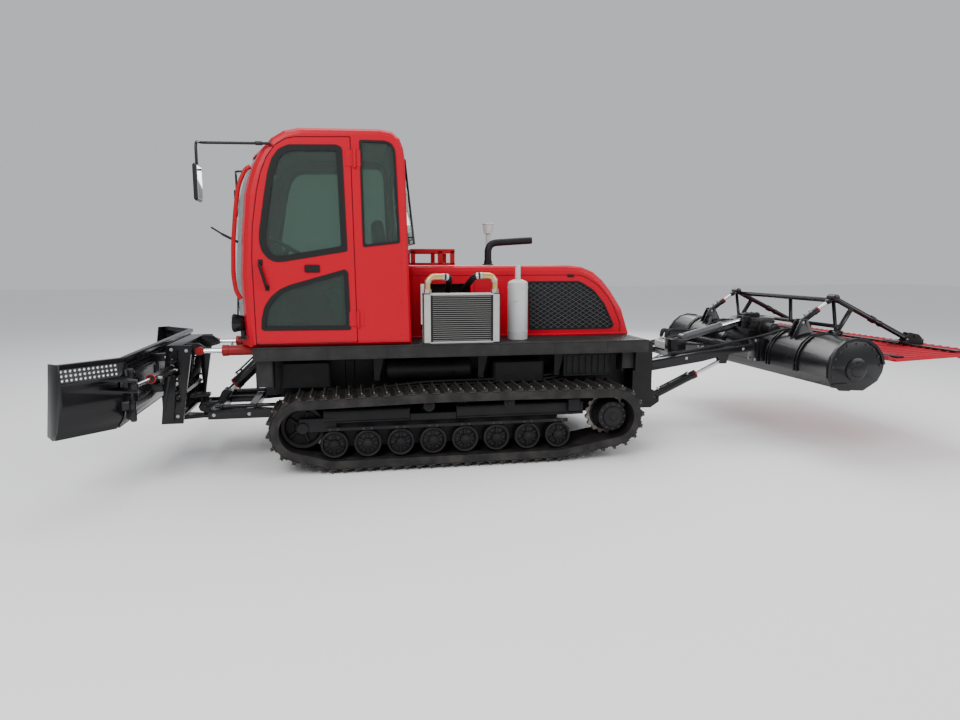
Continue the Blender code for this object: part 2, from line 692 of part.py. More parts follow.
def make_cab_interior():
    """Seat, its stand and the driver's controls."""
    floor = 0.970 + CAB_WALL + GAP
    stand = join([
        box((SEAT_X - 0.20, -0.20, floor), (SEAT_X + 0.20, 0.20, floor + 0.04)),
        box((SEAT_X - 0.13, -0.14, floor), (SEAT_X + 0.13, 0.14, 1.235)),
        box((SEAT_X - 0.22, -0.23, 1.225), (SEAT_X + 0.22, 0.23, 1.2595)),
    ])
    node(stand, "seat_base", "cabin_plastic")
    outline = [
        (SEAT_X - 0.26, 1.260), (SEAT_X + 0.22, 1.260), (SEAT_X + 0.30, 1.95), (SEAT_X + 0.21, 1.97),
        (SEAT_X + 0.13, 1.375), (SEAT_X - 0.24, 1.385),
    ]
    node(prism([outline], "XZ", -0.24, 0.24), "seat_pad", "seat_fabric")
    console = [
        prism([[(-2.33, floor), (-2.12, floor), (-2.14, 1.50), (-2.27, 1.58), (-2.33, 1.58)]],
              "XZ", -0.30, 0.42),
        rod((-2.20, 0.0, 1.50), (-2.075, 0.0, 1.72), 0.022, 12),
    ]
    wheel_center = Vector((-2.070, 0.0, 1.729))
    lean = Vector((0.125, 0.0, 0.22)).normalized()
    console.append(rod(wheel_center - lean * 0.012, wheel_center + lean * 0.012, 0.17, 16))
    for side in SIDES.values():
        console.append(box((-2.20, side * 0.27, floor), (-2.13, side * 0.33, floor + 0.10)))
        console.append(box((-2.20, side * 0.28, floor + 0.001), (-1.30, side * 0.34, floor + 0.04)))
        console.append(box((-1.70, side * 0.28, floor + 0.001), (-1.36, side * 0.40, 1.45)))
        console.append(rod((-1.62, side * 0.34, 1.44), (-1.66, side * 0.34, 1.62), 0.010, 10))
        console.append(rod((-1.655, side * 0.34, 1.60), (-1.665, side * 0.34, 1.66), 0.020, 12))
    node(join(console), "control_console", "cabin_plastic")


def make_cab_outside():
    """Grab rail and the two mirrors."""
    y = -0.722
    rail = [(-2.264, 2.299), (-2.300, 2.280), (-2.354, 2.165), (-2.383, 1.985), (-2.409, 1.746),
            (-2.420, 1.504), (-2.404, 1.385), (-2.371, 1.333)]
    node(tube(rounded_path([(x, y, z) for x, z in rail], 0.05, 1), 0.016), "handrail", "rail_red")
    for name, side in SIDES.items():
        arm_y = side * (CAB_Y + 0.016)
        head_y = side * 0.90
        path = [(-2.185, arm_y, 2.454), (-2.590, arm_y, 2.446), (-2.600, head_y, 2.440),
                (-2.600, head_y, 2.230)]
        mirror = join([
            tube(rounded_path(path, 0.05, 2), 0.010),
            box((-2.612, head_y - 0.085, 2.03), (-2.586, head_y + 0.085, 2.28)),
            rod((-2.215, arm_y, 2.454), (-2.165, arm_y, 2.454), 0.0155, 12),
        ])
        node(mirror, "mirror_" + name, "black_paint")


# ---------------------------------------------------------------- hydraulic cylinders
def cylinder_pair(base, eye, sizes, eye_axis=(0.0, 1.0, 0.0)):
    """Barrel with a bore and base boss, and the rod that slides in it.

    sizes: barrel radius, barrel end, rod radius, rod start, bore start, boss radius, boss half
    width, eye half width and pin half length, measured from the base pin towards the eye.
    """
    radius, reach, rod_radius, rod_start, bore_start, boss, boss_half, eye_half, pin_half = sizes
    base = Vector(base)
    eye = Vector(eye)
    along = (eye - base).normalized()
    across = Vector(eye_axis)
    barrel = join([
        rod(base + along * (boss * 0.8), base + along * reach, radius, 14),
        rod(base - across * boss_half, base + across * boss_half, boss, 10),
        rod(base - across * pin_half, base + across * pin_half, 0.015, 8),
    ])
    bore = rod(base + along * bore_start, base + along * (reach + 0.05), rod_radius + 0.0018, 10)
    barrel = cut(barrel, [bore])
    piston = join([
        rod(base + along * rod_start, eye - along * 0.01, rod_radius, 10),
        rod(eye - across * eye_half, eye + across * eye_half, boss, 10),
    ])
    return barrel, piston


# ---------------------------------------------------------------- blade
def make_push_frame():
    """Ladder frame that lifts the blade."""
    shapes = []
    for side in SIDES.values():
        outline = [(-2.70, 0.365), (-1.87, 0.365), (-1.81, 0.372), (-1.795, 0.40), (-1.81, 0.428),
                   (-1.87, 0.435), (-2.70, 0.435)]
        shapes.append(plate(outline, side, ARM_IN, ARM_OUT, [(*LIFT_PIVOT, 0.0265)]))
        x, z = KNUCKLE
        ear = [(x + 0.14, z - 0.045), (x, z - 0.045), (x - 0.032, z - 0.032), (x - 0.045, z),
               (x - 0.032, z + 0.032), (x, z + 0.045), (x + 0.14, z + 0.045)]
        shapes.append(plate(ear, side, 0.080, 0.108, [(x, z, 0.0265)]))
        shapes.append(plate(
            [(-2.68, 0.372), (-2.36, 0.372), (-2.36, 0.428), (-2.68, 0.428)], side, 0.20, 0.24))
        x, z = LIFT_EYE
        lug = [(x - 0.075, 0.43), (x - 0.007, 0.43), (x + 0.034, z - 0.010), (x + 0.034, z + 0.020),
               (x + 0.018, z + 0.036), (x - 0.018, z + 0.036), (x - 0.034, z + 0.020)]
        shapes.append(plate(lug, side, 0.056, 0.070))
    shapes.append(box((-2.705, -ARM_OUT + 0.001, 0.366), (-2.630, ARM_OUT - 0.001, 0.434)))
    shapes.append(box((-2.420, -ARM_OUT + 0.001, 0.368), (-2.360, ARM_OUT - 0.001, 0.432)))
    pivot_point("axis_blade_lift", (LIFT_PIVOT[0], 0.0, LIFT_PIVOT[1]))
    node(join(shapes), "push_frame", "black_paint", "axis_blade_lift")


def make_knuckle():
    """Cross knuckle between push frame and blade carrier."""
    x, z = KNUCKLE
    cross = join([
        box((x - 0.035, -0.070, z - 0.035), (x + 0.035, 0.070, z + 0.035)),
        cross_rod(x, z, -0.115, 0.115, 0.025),
        rod((x, 0.0, z - 0.100), (x, 0.0, z + 0.100), 0.025),
    ])
    pivot_point("axis_knuckle", (x, 0.0, z))
    node(cross, "blade_knuckle", "black_paint", "axis_knuckle")


def make_carrier():
    """Upright carrier frame between the knuckle and the blade."""
    shapes = []
    x, z = KNUCKLE
    column = [(-3.055, 0.340), (-2.895, 0.340), (-2.870, 0.520), (-2.800, 0.935), (-2.800, 0.962),
              (-2.985, 0.962)]
    opening = [(-3.000, 0.520), (-2.905, 0.520), (-2.925, 0.860), (-2.955, 0.860)]
    for side in SIDES.values():
        shapes.append(prism([column, opening], "XZ", side * 0.420, side * 0.450))
        post = [(-3.055, 0.340), (-3.015, 0.340), (-2.945, 0.955), (-2.985, 0.955)]
        shapes.append(plate(post, side, 0.370, 0.450))
        eye_x, eye_z = ANGLE_EYE
        lug = [(-2.90, 0.86), (eye_x - 0.02, eye_z - 0.035), (eye_x + 0.035, eye_z - 0.02),
               (eye_x + 0.035, eye_z + 0.02), (eye_x - 0.01, eye_z + 0.057), (-2.90, 0.962)]
        shapes.append(plate(lug, side, 0.296, 0.312))
        bx, by, bz = WING_BASE
        for low in (bz - 0.056, bz + 0.042):
            ear = [(bx - 0.035, side * 0.44), (bx + 0.035, side * 0.44), (bx + 0.035, side * by),
                   (bx + 0.02, side * (by + 0.03)), (bx - 0.02, side * (by + 0.03)),
                   (bx - 0.035, side * by)]
            shapes.append(prism([ear, circle_points((bx, side * by), 0.0165)], "XY", low, low + 0.012))
    shapes.append(box((-2.985, -0.45, 0.946), (-2.872, 0.45, 0.9625)))
    shapes.append(box((-3.050, -0.44, 0.345), (-2.930, 0.44, 0.365)))
    shapes.append(box((-3.045, -0.43, 0.352), (-3.015, 0.43, 0.560)))
    for low in (z - 0.105, z + 0.075):
        ear = [(-3.03, -0.11), (x - 0.02, -0.045), (x + 0.035, -0.045), (x + 0.035, 0.045),
               (x - 0.02, 0.045), (-3.03, 0.11)]
        shapes.append(prism([ear, circle_points((x, 0.0), 0.0265)], "XY", low, low + 0.028))
    shapes.append(box((-3.035, -0.10, z - 0.10), (-2.965, 0.10, z + 0.10)))
    pivot_point("axis_blade_angle", (x, 0.0, z))
    node(join(shapes), "blade_carrier", "black_paint", "axis_blade_angle")


def blade_outline(shift=0.0):
    """Side outline of the curved moldboard, moved along X."""
    back = [(x + shift, z) for x, z in BLADE_BACK]
    front = [(x + shift - BLADE_T, z) for x, z in reversed(BLADE_BACK)]
    return back + front


def knuckle_bars(axis_x, axis_y, spans, reach_x, reach_y, hole):
    """Hinge barrels on a vertical axis with the tabs that join them to a moldboard."""
    shapes = []
    for low, high in spans:
        barrel = rod((axis_x, axis_y, low), (axis_x, axis_y, high), 0.022, 14)
        slant = math.copysign(0.030, reach_y)
        outline = [(axis_x - 0.004, axis_y), (axis_x - 0.004, axis_y + reach_y),
                   (axis_x + reach_x, axis_y + reach_y), (axis_x + reach_x, axis_y + slant)]
        barrel = join([barrel, prism([outline], "XY", low, high)])
        if hole:
            bore = rod((axis_x, axis_y, low - 0.01), (axis_x, axis_y, high + 0.01), 0.0135, 12)
            barrel = cut(barrel, [bore])
        shapes.append(barrel)
    return shapes


def mitre(axis_x, axis_y, side, keep_inside):
    """Wedge that trims a moldboard to the bisector of the tightest fold."""
    reach = 0.40
    run = reach * math.tan(WING_MITRE)
    away = -side if keep_inside else side
    play = away * PLAY / 2.0
    outline = [
        (axis_x + 0.05, axis_y + play), (axis_x, axis_y + play),
        (axis_x - reach, axis_y + play + away * run), (axis_x - reach, axis_y - away * 0.5),
        (axis_x + 0.05, axis_y - away * 0.5),
    ]
    return prism([outline], "XY", 0.3, 1.2)


def hinge_room(axis_y):
    """Round cutter that clears a moldboard from the hinge barrels beside it."""
    return rod((WING_HINGE[0], axis_y, 0.3), (WING_HINGE[0], axis_y, 1.2), 0.027, 12)


def make_blade_center():
    """Middle moldboard with its rails, ribs and hinge barrels."""
    hinge_x, hinge_y = WING_HINGE
    shapes = [prism([blade_outline()], "XZ", -hinge_y, hinge_y)]
    shapes.append(prism([[(-3.140, 0.926), (-3.098, 0.926), (-3.098, 0.957), (-3.140, 0.957)]],
                        "XZ", -hinge_y, hinge_y))
    shapes.append(box((-3.115, -hinge_y, 0.812), (-3.088, hinge_y, 0.830)))
    shapes.append(box((-3.215, -hinge_y, 0.455), (-3.184, hinge_y, 0.560)))
    for side in SIDES.values():
        for y in (0.33, 0.90):
            depth = -3.072 if y < 0.5 else -3.085
            rib = [(x - BLADE_T / 2.0, z) for x, z in BLADE_BACK[1:-1]]
            rib += [(depth, 0.82), (depth, 0.62)]
            shapes.append(plate(rib, side, y, y + 0.014))
    board = join(shapes)
    for side in SIDES.values():
        board = cut(board, [mitre(hinge_x, side * hinge_y, side, True), hinge_room(side * hinge_y)])
    shapes = [board]
    for side in SIDES.values():
        shapes += knuckle_bars(hinge_x, side * hinge_y, CENTRE_SPANS, -0.056, -side * 0.060, False)
        shapes.append(rod((hinge_x, side * hinge_y, 0.53), (hinge_x, side * hinge_y, 0.86), 0.012, 14))
    # The carrier is bolted on through four pads that end just short of it.
    for side in SIDES.values():
        shapes.append(box((-3.12, side * 0.375, 0.60), (-3.0305, side * 0.445, 0.66)))
        shapes.append(box((-3.12, side * 0.375, 0.84), (-3.0005, side * 0.445, 0.90)))
    node(join(shapes), "blade_center", "black_paint", "axis_blade_angle")


def make_wing(name, side):
    """Outer moldboard section, folded forward about its hinge."""
    hinge_x, hinge_y = WING_HINGE
    axis_y = side * hinge_y
    tip = axis_y + side * WING_LENGTH
    shapes = [prism([blade_outline()], "XZ", axis_y, tip)]
    shapes.append(box((-3.140, axis_y, 0.926), (-3.098, tip, 0.957)))
    shapes.append(box((-3.115, axis_y, 0.812), (-3.088, tip, 0.830)))
    shapes.append(box((-3.215, axis_y, 0.455), (-3.184, tip, 0.560)))
    board = cut(join(shapes), [mitre(hinge_x, axis_y, side, False), hinge_room(axis_y)])
    end = [(-3.290, 0.470), (-3.225, 0.448), (-3.165, 0.520), (-3.085, 0.700), (-3.085, 0.958),
           (-3.205, 0.958), (-3.230, 0.800)]
    shapes = [board, prism([end], "XZ", tip - side * 0.014, tip)]
    shapes += knuckle_bars(hinge_x, axis_y, WING_SPANS, -0.045, side * 0.075, True)
    along, behind, height = WING_LUG
    lug_x = hinge_x + behind
    lug_y = axis_y + side * along
    for low in (height - 0.042, height + 0.030):
        ear = [(-3.112, axis_y + side * 0.055), (lug_x, lug_y - side * 0.028), (lug_x + 0.028, lug_y),
               (lug_x, lug_y + side * 0.028), (-3.112, axis_y + side * 0.215)]
        shapes.append(prism([ear], "XY", low, low + 0.012))
    wing = join(shapes)
    fold = (
        Matrix.Translation((hinge_x, axis_y, 0.0))
        @ Matrix.Rotation(side * WING_FOLD, 4, "Z")
        @ Matrix.Translation((-hinge_x, -axis_y, 0.0))
    )
    wing.data.transform(fold)
    pivot_point("axis_wing_" + name, (hinge_x, axis_y, 0.70))
    node(wing, "wing_" + name, "black_paint", "axis_wing_" + name)


def wing_lug_point(side):
    """Place of a wing cylinder's eye as parked."""
    hinge_x, hinge_y = WING_HINGE
    along, behind, height = WING_LUG
    arm = Matrix.Rotation(side * WING_FOLD, 3, "Z") @ Vector((behind, side * along, 0.0))
    return Vector((hinge_x, side * hinge_y, height)) + arm


def make_blade_cylinders():
    """Lift cylinder, the two upper angle cylinders and the two wing cylinders."""
    x, z = LIFT_BASE
    pivot_point("axis_lift_cylinder", (x, 0.0, z))
    barrel, piston = cylinder_pair(
        (x, 0.0, z), (LIFT_EYE[0], 0.0, LIFT_EYE[1]),
        (0.050, 0.440, 0.024, 0.200, 0.150, 0.034, 0.045, 0.045, 0.0690))
    node(barrel, "blade_lift_barrel", "black_paint", "axis_lift_cylinder")
    node(piston, "blade_lift_rod", "chrome", "axis_lift_cylinder")
    x, z = ANGLE_BASE
    pivot_point("axis_angle_cylinders", (x, 0.0, z))
    for name, side in SIDES.items():
        y = side * ANGLE_Y
        barrel, piston = cylinder_pair(
            (x, y, z), (ANGLE_EYE[0], y, ANGLE_EYE[1]),
            (0.041, 0.385, 0.020, 0.215, 0.070, 0.032, 0.040, 0.024, 0.0580))
        node(barrel, "angle_barrel_" + name, "cylinder_red", "axis_angle_cylinders")
        node(piston, "angle_rod_" + name, "chrome", "axis_angle_cylinders")
    bx, by, bz = WING_BASE
    for name, side in SIDES.items():
        base = Vector((bx, side * by, bz))
        holder = pivot_point("axis_wing_cylinder_" + name, base)
        barrel, piston = cylinder_pair(
            base, wing_lug_point(side), (0.030, 0.480, 0.015, 0.300, 0.125, 0.026, 0.0185, 0.0185, 0.053),
            (0.0, 0.0, 1.0))
        node(barrel, "wing_barrel_" + name, "black_paint", holder)
        node(piston, "wing_rod_" + name, "chrome", holder)


# ---------------------------------------------------------------- tiller
def make_tiller_arms():
    """Pair of lift arms with their cross beam."""
    x, z = ARM_PIVOT
    arm = [(0.925, 0.715), (0.945, 0.738), (1.520, 0.816), (1.980, 0.872), (2.060, 0.876),
           (2.060, 0.812), (1.830, 0.796), (1.520, 0.728), (0.970, 0.648), (0.935, 0.655), (0.922, 0.680)]
    shapes = []
    for side in SIDES.values():
        y_in = ARM_Y - ARM_T / 2.0
        shapes.append(plate(arm, side, y_in, y_in + ARM_T, [(x, z, 0.0265)]))
        ex, ez = TILLER_EYE
        lug = [(ex - 0.05, 0.775), (ex - 0.03, ez - 0.03), (ex + 0.03, ez - 0.03), (ex + 0.06, 0.805)]
        for y_low in (ARM_Y - 0.030, ARM_Y + 0.020):
            shapes.append(plate(lug, side, y_low, y_low + 0.010))
        end = [(2.020, 0.720), (2.060, 0.720), (2.060, 0.920), (2.020, 0.920)]
        shapes.append(plate(end, side, 0.400, 0.528))
        brace = [(1.20, side * 0.45), (1.26, side * 0.45), (1.95, side * 0.10), (1.89, side * 0.10)]
        shapes.append(prism([brace], "XY", 0.790, 0.812))
    shapes.append(box((1.860, -0.45, 0.800), (1.960, 0.45, 0.862)))
    shapes.append(box((1.330, -0.45, 0.735), (1.400, 0.45, 0.792)))
    shapes.append(box((1.320, -0.26, 0.780), (1.470, -0.14, 0.905)))
    pivot_point("axis_tiller_lift", (x, 0.0, z))
    node(join(shapes), "tiller_arms", "black_paint", "axis_tiller_lift")
    tilt = join([
        rod((1.475, -0.20, 0.918), (1.86, -0.20, 1.018), 0.036, 14),
        rod((1.85, -0.20, 1.0154), (2.070, -0.20, 1.0725), 0.020, 10),
    ])
    node(tilt, "tilt_cylinder", "light_grey", "axis_tiller_lift")


def make_tiller_cylinders():
    """The two lower cylinders that raise the tiller arms."""
    x, z = TILLER_BASE
    pivot_point("axis_tiller_cylinders", (x, 0.0, z))
    for name, side in SIDES.items():
        y = side * ARM_Y
        barrel, piston = cylinder_pair(
            (x, y, z), (TILLER_EYE[0], y, TILLER_EYE[1]),
            (0.034, 0.450, 0.018, 0.280, 0.160, 0.029, 0.017, 0.017, 0.0550))
        node(barrel, "tiller_barrel_" + name, "black_paint", "axis_tiller_cylinders")
        node(piston, "tiller_rod_" + name, "chrome", "axis_tiller_cylinders")


def make_tiller_housing():
    """Curved hood over the drum with end plates, bands, gearbox and brackets."""
    outer = list(HOUSING_SHAPE)
    center = Vector(DRUM)

    def ring(depth):
        return [tuple(Vector(p) + (center - Vector(p)).normalized() * depth) for p in outer]

    inner = ring(HOUSING_T)
    middle = ring(HOUSING_T / 2.0)
    shapes = [prism([outer + inner[::-1]], "XZ", -HOUSING_Y, HOUSING_Y)]
    end = ring(-0.004) + [(2.545, 0.668), (2.420, 0.592), (2.300, 0.600)]
    for side in SIDES.values():
        shapes.append(plate(end, side, HOUSING_Y - 0.014, HOUSING_Y, [(*DRUM, 0.031)]))
        mount = [(2.0605, 0.720), (2.150, 0.720), (2.150, 0.900), (2.125, 0.920), (2.0605, 0.920)]
        shapes.append(plate(mount, side, 0.400, 0.528))
        x, z = FINISHER_BASE
        for y_in in (FINISHER_Y - 0.041, FINISHER_Y + 0.029):
            lug = [(x - 0.10, 0.965), (x + 0.10, 0.985), (x + 0.03, z + 0.028), (x - 0.03, z + 0.028)]
            shapes.append(plate(lug, side, y_in, y_in + 0.012, [(x, z, 0.0165)]))
        x, z = FINISHER_PIVOT
        for y_in in (FINISHER_Y - 0.052, FINISHER_Y + 0.036):
            lug = [(2.500, 0.935), (2.560, 0.860), (x + 0.030, z - 0.020), (x + 0.026, z + 0.028),
                   (x - 0.026, z + 0.028)]
            shapes.append(plate(lug, side, y_in, y_in + 0.016, [(x, z, 0.0195)]))
    gearbox = middle[2:7] + [(2.340, 1.090), (2.110, 1.090), (2.070, 0.950), (2.070, 0.810)]
    shapes.append(prism([gearbox], "XZ", -0.300, 0.080))
    node(join(shapes), "tiller_housing", "black_paint", "axis_tiller_lift")


def make_drum():
    """Cutter drum with a helix of teeth, on a shaft through the end plates."""
    x, z = DRUM
    reach = HOUSING_Y - 0.022
    shapes = [
        cross_rod(x, z, -reach, reach, DRUM_R, 14),
        cross_rod(x, z, -HOUSING_Y + 0.001, HOUSING_Y - 0.001, 0.029, 10),
    ]
    teeth = 12
    for i in range(teeth):
        y = -reach + 0.06 + i * (2.0 * reach - 0.12) / (teeth - 1)
        tooth = box((-0.020, y - 0.014, DRUM_R - 0.02), (0.020, y + 0.014, TOOTH_R))
        turn = Matrix.Rotation(math.radians(105.0 * i), 4, "Y")
        tooth.data.transform(Matrix.Translation((x, 0.0, z)) @ turn)
        shapes.append(tooth)
    pivot_point("axis_drum", (x, 0.0, z))
    node(join(shapes), "tiller_drum", "track_steel", "axis_drum")


def make_finisher():
    """Lever frame and smoothing mat behind the tiller, with the cylinders that swing them."""
    px, pz = FINISHER_PIVOT
    ax, az = FINISHER_APEX
    fx, fz = FINISHER_FOOT
    shapes = []
    for side in SIDES.values():
        y = side * FINISHER_Y
        top = (ax + (fx - ax) * BRACE_SHARE, az + (fz - az) * BRACE_SHARE)
        shapes.append(rod((ax - 0.02, y, az + 0.010), (fx, y, fz), 0.024, 8))
        shapes.append(rod((px, y, pz), (top[0], y, top[1]), 0.022, 8))
        shapes.append(rod((px, y, pz), (ax, y, az), 0.016, 8))
        shapes.append(cross_rod(px, pz, y - 0.030, y + 0.030, 0.030, 12))
        shapes.append(cross_rod(px, pz, y - 0.0515, y + 0.0515, 0.018, 10))
        shapes.append(box((fx - 0.10, y - 0.040, fz - 0.025), (fx + 0.09, y + 0.040, fz + 0.020)))
    shapes.append(cross_rod(ax + 0.055, az - 0.028, -FINISHER_Y, FINISHER_Y, 0.021, 8))
    shapes.append(rod((ax + 0.055, -0.10, az - 0.028), (px + 0.02, -0.10, pz + 0.06), 0.018, 8))
    shapes.append(cross_rod(px + 0.02, pz + 0.06, -FINISHER_Y, FINISHER_Y, 0.018, 8))
    pivot_point("axis_finisher", (px, 0.0, pz))
    node(join(shapes), "finisher_frame", "black_paint", "axis_finisher")

    mx, mz = MAT_FRONT
    rx, rz = MAT_REAR
    outline = [(mx, mz), (rx, rz - MAT_T), (rx, rz), (mx, mz + MAT_T)]
    mat = prism([outline], "XZ", -HOUSING_Y, HOUSING_Y)
    node(mat, "finisher_mat", "mat_red", "axis_finisher")

    x, z = FINISHER_BASE
    pivot_point("axis_finisher_cylinders", (x, 0.0, z))
    for name, side in SIDES.items():
        y = side * FINISHER_Y
        barrel, piston = cylinder_pair(
            (x, y, z), (ax - 0.045, y, az - 0.032),
            (0.024, 0.190, 0.013, 0.100, 0.032, 0.021, 0.020, 0.020, 0.0400))
        node(barrel, "finisher_barrel_" + name, "black_paint", "axis_finisher_cylinders")
        node(piston, "finisher_rod_" + name, "chrome", "axis_finisher_cylinders")


def main():
    """Build every piece of the machine."""
    start_scene()
    for name, side in SIDES.items():
        make_track(name, side)
        make_track_frame(name, side)
    make_main_frame()
    make_deck()
    make_hood()
    make_guard_frame()
    make_cooler()
    make_pipes()
    make_cab()
    make_cab_interior()
    make_cab_outside()
    make_push_frame()
    make_knuckle()
    make_carrier()
    make_blade_center()
    for name, side in SIDES.items():
        make_wing(name, side)
    make_blade_cylinders()
    make_tiller_arms()
    make_tiller_cylinders()
    make_tiller_housing()
    make_drum()
    make_finisher()


main()
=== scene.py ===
"""Studio scene of a compact snow groomer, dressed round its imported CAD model.

Metres, +Z up. The machine faces -X and its left side is -Y. Every piece is made in place in the
CAD model's frame and rides on one of its bodies.
"""
from __future__ import annotations

import logging
import math
from dataclasses import dataclass
from enum import Enum
from typing import Iterable, Sequence

import bmesh
import bpy
from mathutils import Matrix, Vector
from mathutils.geometry import convex_hull_2d


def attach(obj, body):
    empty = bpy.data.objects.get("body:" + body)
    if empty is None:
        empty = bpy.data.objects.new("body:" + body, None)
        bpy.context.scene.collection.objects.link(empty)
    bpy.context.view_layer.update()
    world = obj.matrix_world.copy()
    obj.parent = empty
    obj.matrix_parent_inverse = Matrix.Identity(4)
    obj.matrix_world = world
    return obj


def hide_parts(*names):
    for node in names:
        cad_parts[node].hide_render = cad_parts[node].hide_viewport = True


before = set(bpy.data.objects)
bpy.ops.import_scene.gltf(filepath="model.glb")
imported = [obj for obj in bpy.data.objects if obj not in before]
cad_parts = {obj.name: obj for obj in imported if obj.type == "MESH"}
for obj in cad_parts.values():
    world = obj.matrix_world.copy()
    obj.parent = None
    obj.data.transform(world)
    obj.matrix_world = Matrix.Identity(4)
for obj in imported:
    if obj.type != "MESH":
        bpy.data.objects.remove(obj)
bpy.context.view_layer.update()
LOG = logging.getLogger("snow_groomer")
SIDES = {"left": -1.0, "right": 1.0}
SHARP_DEGREES = 34.0
FLAT_DEGREES = 0.6
WELD_DISTANCE = 2e-5
PATH_SHARE = 0.49
CORNER_SHARE = 0.45
MITRE_LIMIT = 0.3
CIRCLE_STEPS = 96
SENSOR_WIDTH = 36.0
CLIP_END = 200.0
Point = Sequence[float]
Flat = tuple[float, float]
Spot = tuple[float, float, float]
Marks = Iterable[tuple[Point, Point]]


# ---------------------------------------------------------------- finishes
class Graph:
    """Node tree that is filled by short calls."""

    def __init__(self, tree: bpy.types.NodeTree) -> None:
        """Take the tree."""
        self.tree = tree

    def add(
            self, kind: str, values: dict[str, object] | None = None,
            **settings: object) -> bpy.types.Node:
        """Add a node.

        Args:
            kind: node type.
            values: values of its inputs, by name.
            settings: values of its properties, by name.

        Returns:
            The node.
        """
        node = self.tree.nodes.new(kind)
        for key, setting in settings.items():
            setattr(node, key, setting)
        self.fill(node, values or {})
        return node

    @staticmethod
    def fill(node: bpy.types.Node, values: dict[str, object]) -> None:
        """Set the inputs of a node by name."""
        for key, value in values.items():
            node.inputs[key].default_value = value

    def link(self, *routes: tuple[bpy.types.Node, str, bpy.types.Node, str]) -> None:
        """Join sockets; each route is a node, its output, another node and its input."""
        for source, output, target, entry in routes:
            self.tree.links.new(source.outputs[output], target.inputs[entry])


@dataclass(frozen=True)
class Finish:
    """Colour and surface of one kind of material.

    Attributes:
        name: material name.
        slot: material slot of the CAD record that it belongs to; not used.
        color: linear RGB.
        roughness: roughness of the clean surface.
        metallic: 0 for paint, 1 for bare metal.
        coat: weight of the clear coat.
        specular: strength of the plain reflection.
        transmission: share of light that passes through.
        grain: size of the soft variation, in cycles per metre.
        wear: how far the colour drifts towards the worn colour.
        worn: linear RGB of the worn or dusty surface.
        bump: depth of the fine surface relief, in metres.
        coat_roughness: roughness of the clear coat.
        worn_from: noise value at which wear starts.
        worn_full: noise value at which wear is full.
    """

    name: str
    slot: str
    color: Spot
    roughness: float
    metallic: float = 0.0
    coat: float = 0.0
    specular: float = 0.5
    transmission: float = 0.0
    grain: float = 6.0
    wear: float = 0.0
    worn: Spot = (0.1, 0.09, 0.08)
    bump: float = 0.0
    coat_roughness: float = 0.12
    worn_from: float = 0.42
    worn_full: float = 0.78

    def material(self) -> bpy.types.Material:
        """Return the Blender material, made once.

        Returns:
            The material of this finish.
        """
        found = bpy.data.materials.get(self.name)
        if found is not None:
            return found
        material = bpy.data.materials.new(self.name)
        material.use_nodes = True
        graph = Graph(material.node_tree)
        shader = material.node_tree.nodes["Principled BSDF"]
        graph.fill(
            shader,
            {"Base Color": (*self.color, 1.0), "Roughness": self.roughness,
             "Metallic": self.metallic, "Coat Weight": self.coat,
             "Coat Roughness": self.coat_roughness, "Specular IOR Level": self.specular,
             "Transmission Weight": self.transmission})
        if self.wear > 0.0 or self.bump > 0.0:
            self._weather(graph, shader)
        return material

    def _weather(self, graph: Graph, shader: bpy.types.Node) -> None:
        """Add the drift of colour and roughness and the fine relief."""
        place = graph.add("ShaderNodeTexCoord")
        noise = graph.add("ShaderNodeTexNoise", {"Scale": self.grain, "Detail": 5.0})
        graph.link((place, "Object", noise, "Vector"))
        if self.wear > 0.0:
            ramp = graph.add(
                "ShaderNodeMapRange",
                {"From Min": self.worn_from, "From Max": self.worn_full, "To Max": self.wear})
            mix = graph.add(
                "ShaderNodeMix", {"A": (*self.color, 1.0), "B": (*self.worn, 1.0)},
                data_type="RGBA")
            rough = graph.add(
                "ShaderNodeMapRange",
                {"To Min": self.roughness * 0.85, "To Max": min(1.0, self.roughness * 1.25)})
            graph.link(
                (noise, "Fac", ramp, "Value"), (ramp, "Result", mix, "Factor"),
                (mix, "Result", shader, "Base Color"), (noise, "Fac", rough, "Value"),
                (rough, "Result", shader, "Roughness"))
        if self.bump > 0.0:
            fine = graph.add("ShaderNodeTexNoise", {"Scale": self.grain * 30.0, "Detail": 3.0})
            bump = graph.add("ShaderNodeBump", {"Distance": self.bump, "Strength": 0.5})
            graph.link(
                (place, "Object", fine, "Vector"), (fine, "Fac", bump, "Height"),
                (bump, "Normal", shader, "Normal"))


RED = Finish(
    "red_gloss_paint", "red_paint", (0.46, 0.0004, 0.015), 0.36, coat=0.05, specular=0.16,
    grain=1.5, wear=0.05, worn=(0.26, 0.004, 0.008))
RAIL_RED = Finish("red_rail_paint", "rail_red", (0.36, 0.001, 0.007), 0.35, coat=0.05, specular=0.2)
BLACK = Finish(
    "black_gloss_paint", "black_paint", (0.0045, 0.0045, 0.0055), 0.25, coat=0.04, specular=0.32,
    grain=5.0, wear=0.25, worn=(0.018, 0.017, 0.018))
CHASSIS = Finish(
    "black_chassis_paint", "chassis_black", (0.0055, 0.0055, 0.0065), 0.48, specular=0.25,
    grain=7.0, wear=0.4, worn=(0.026, 0.024, 0.022), bump=0.0004)
BELT = Finish(
    "track_belt", "track_steel", (0.012, 0.011, 0.011), 0.62, specular=0.25, grain=9.0, wear=0.8,
    worn=(0.05, 0.044, 0.04), bump=0.0008)
TRACK = Finish(
    "track_steel", "track_steel", (0.05, 0.045, 0.042), 0.5, metallic=0.75, grain=14.0, wear=0.75,
    worn=(0.115, 0.095, 0.08), bump=0.0006)
EDGE = Finish(
    "worn_steel_edge", "track_steel", (0.3, 0.27, 0.25), 0.38, metallic=0.9, grain=18.0, wear=0.6,
    worn=(0.12, 0.1, 0.09))
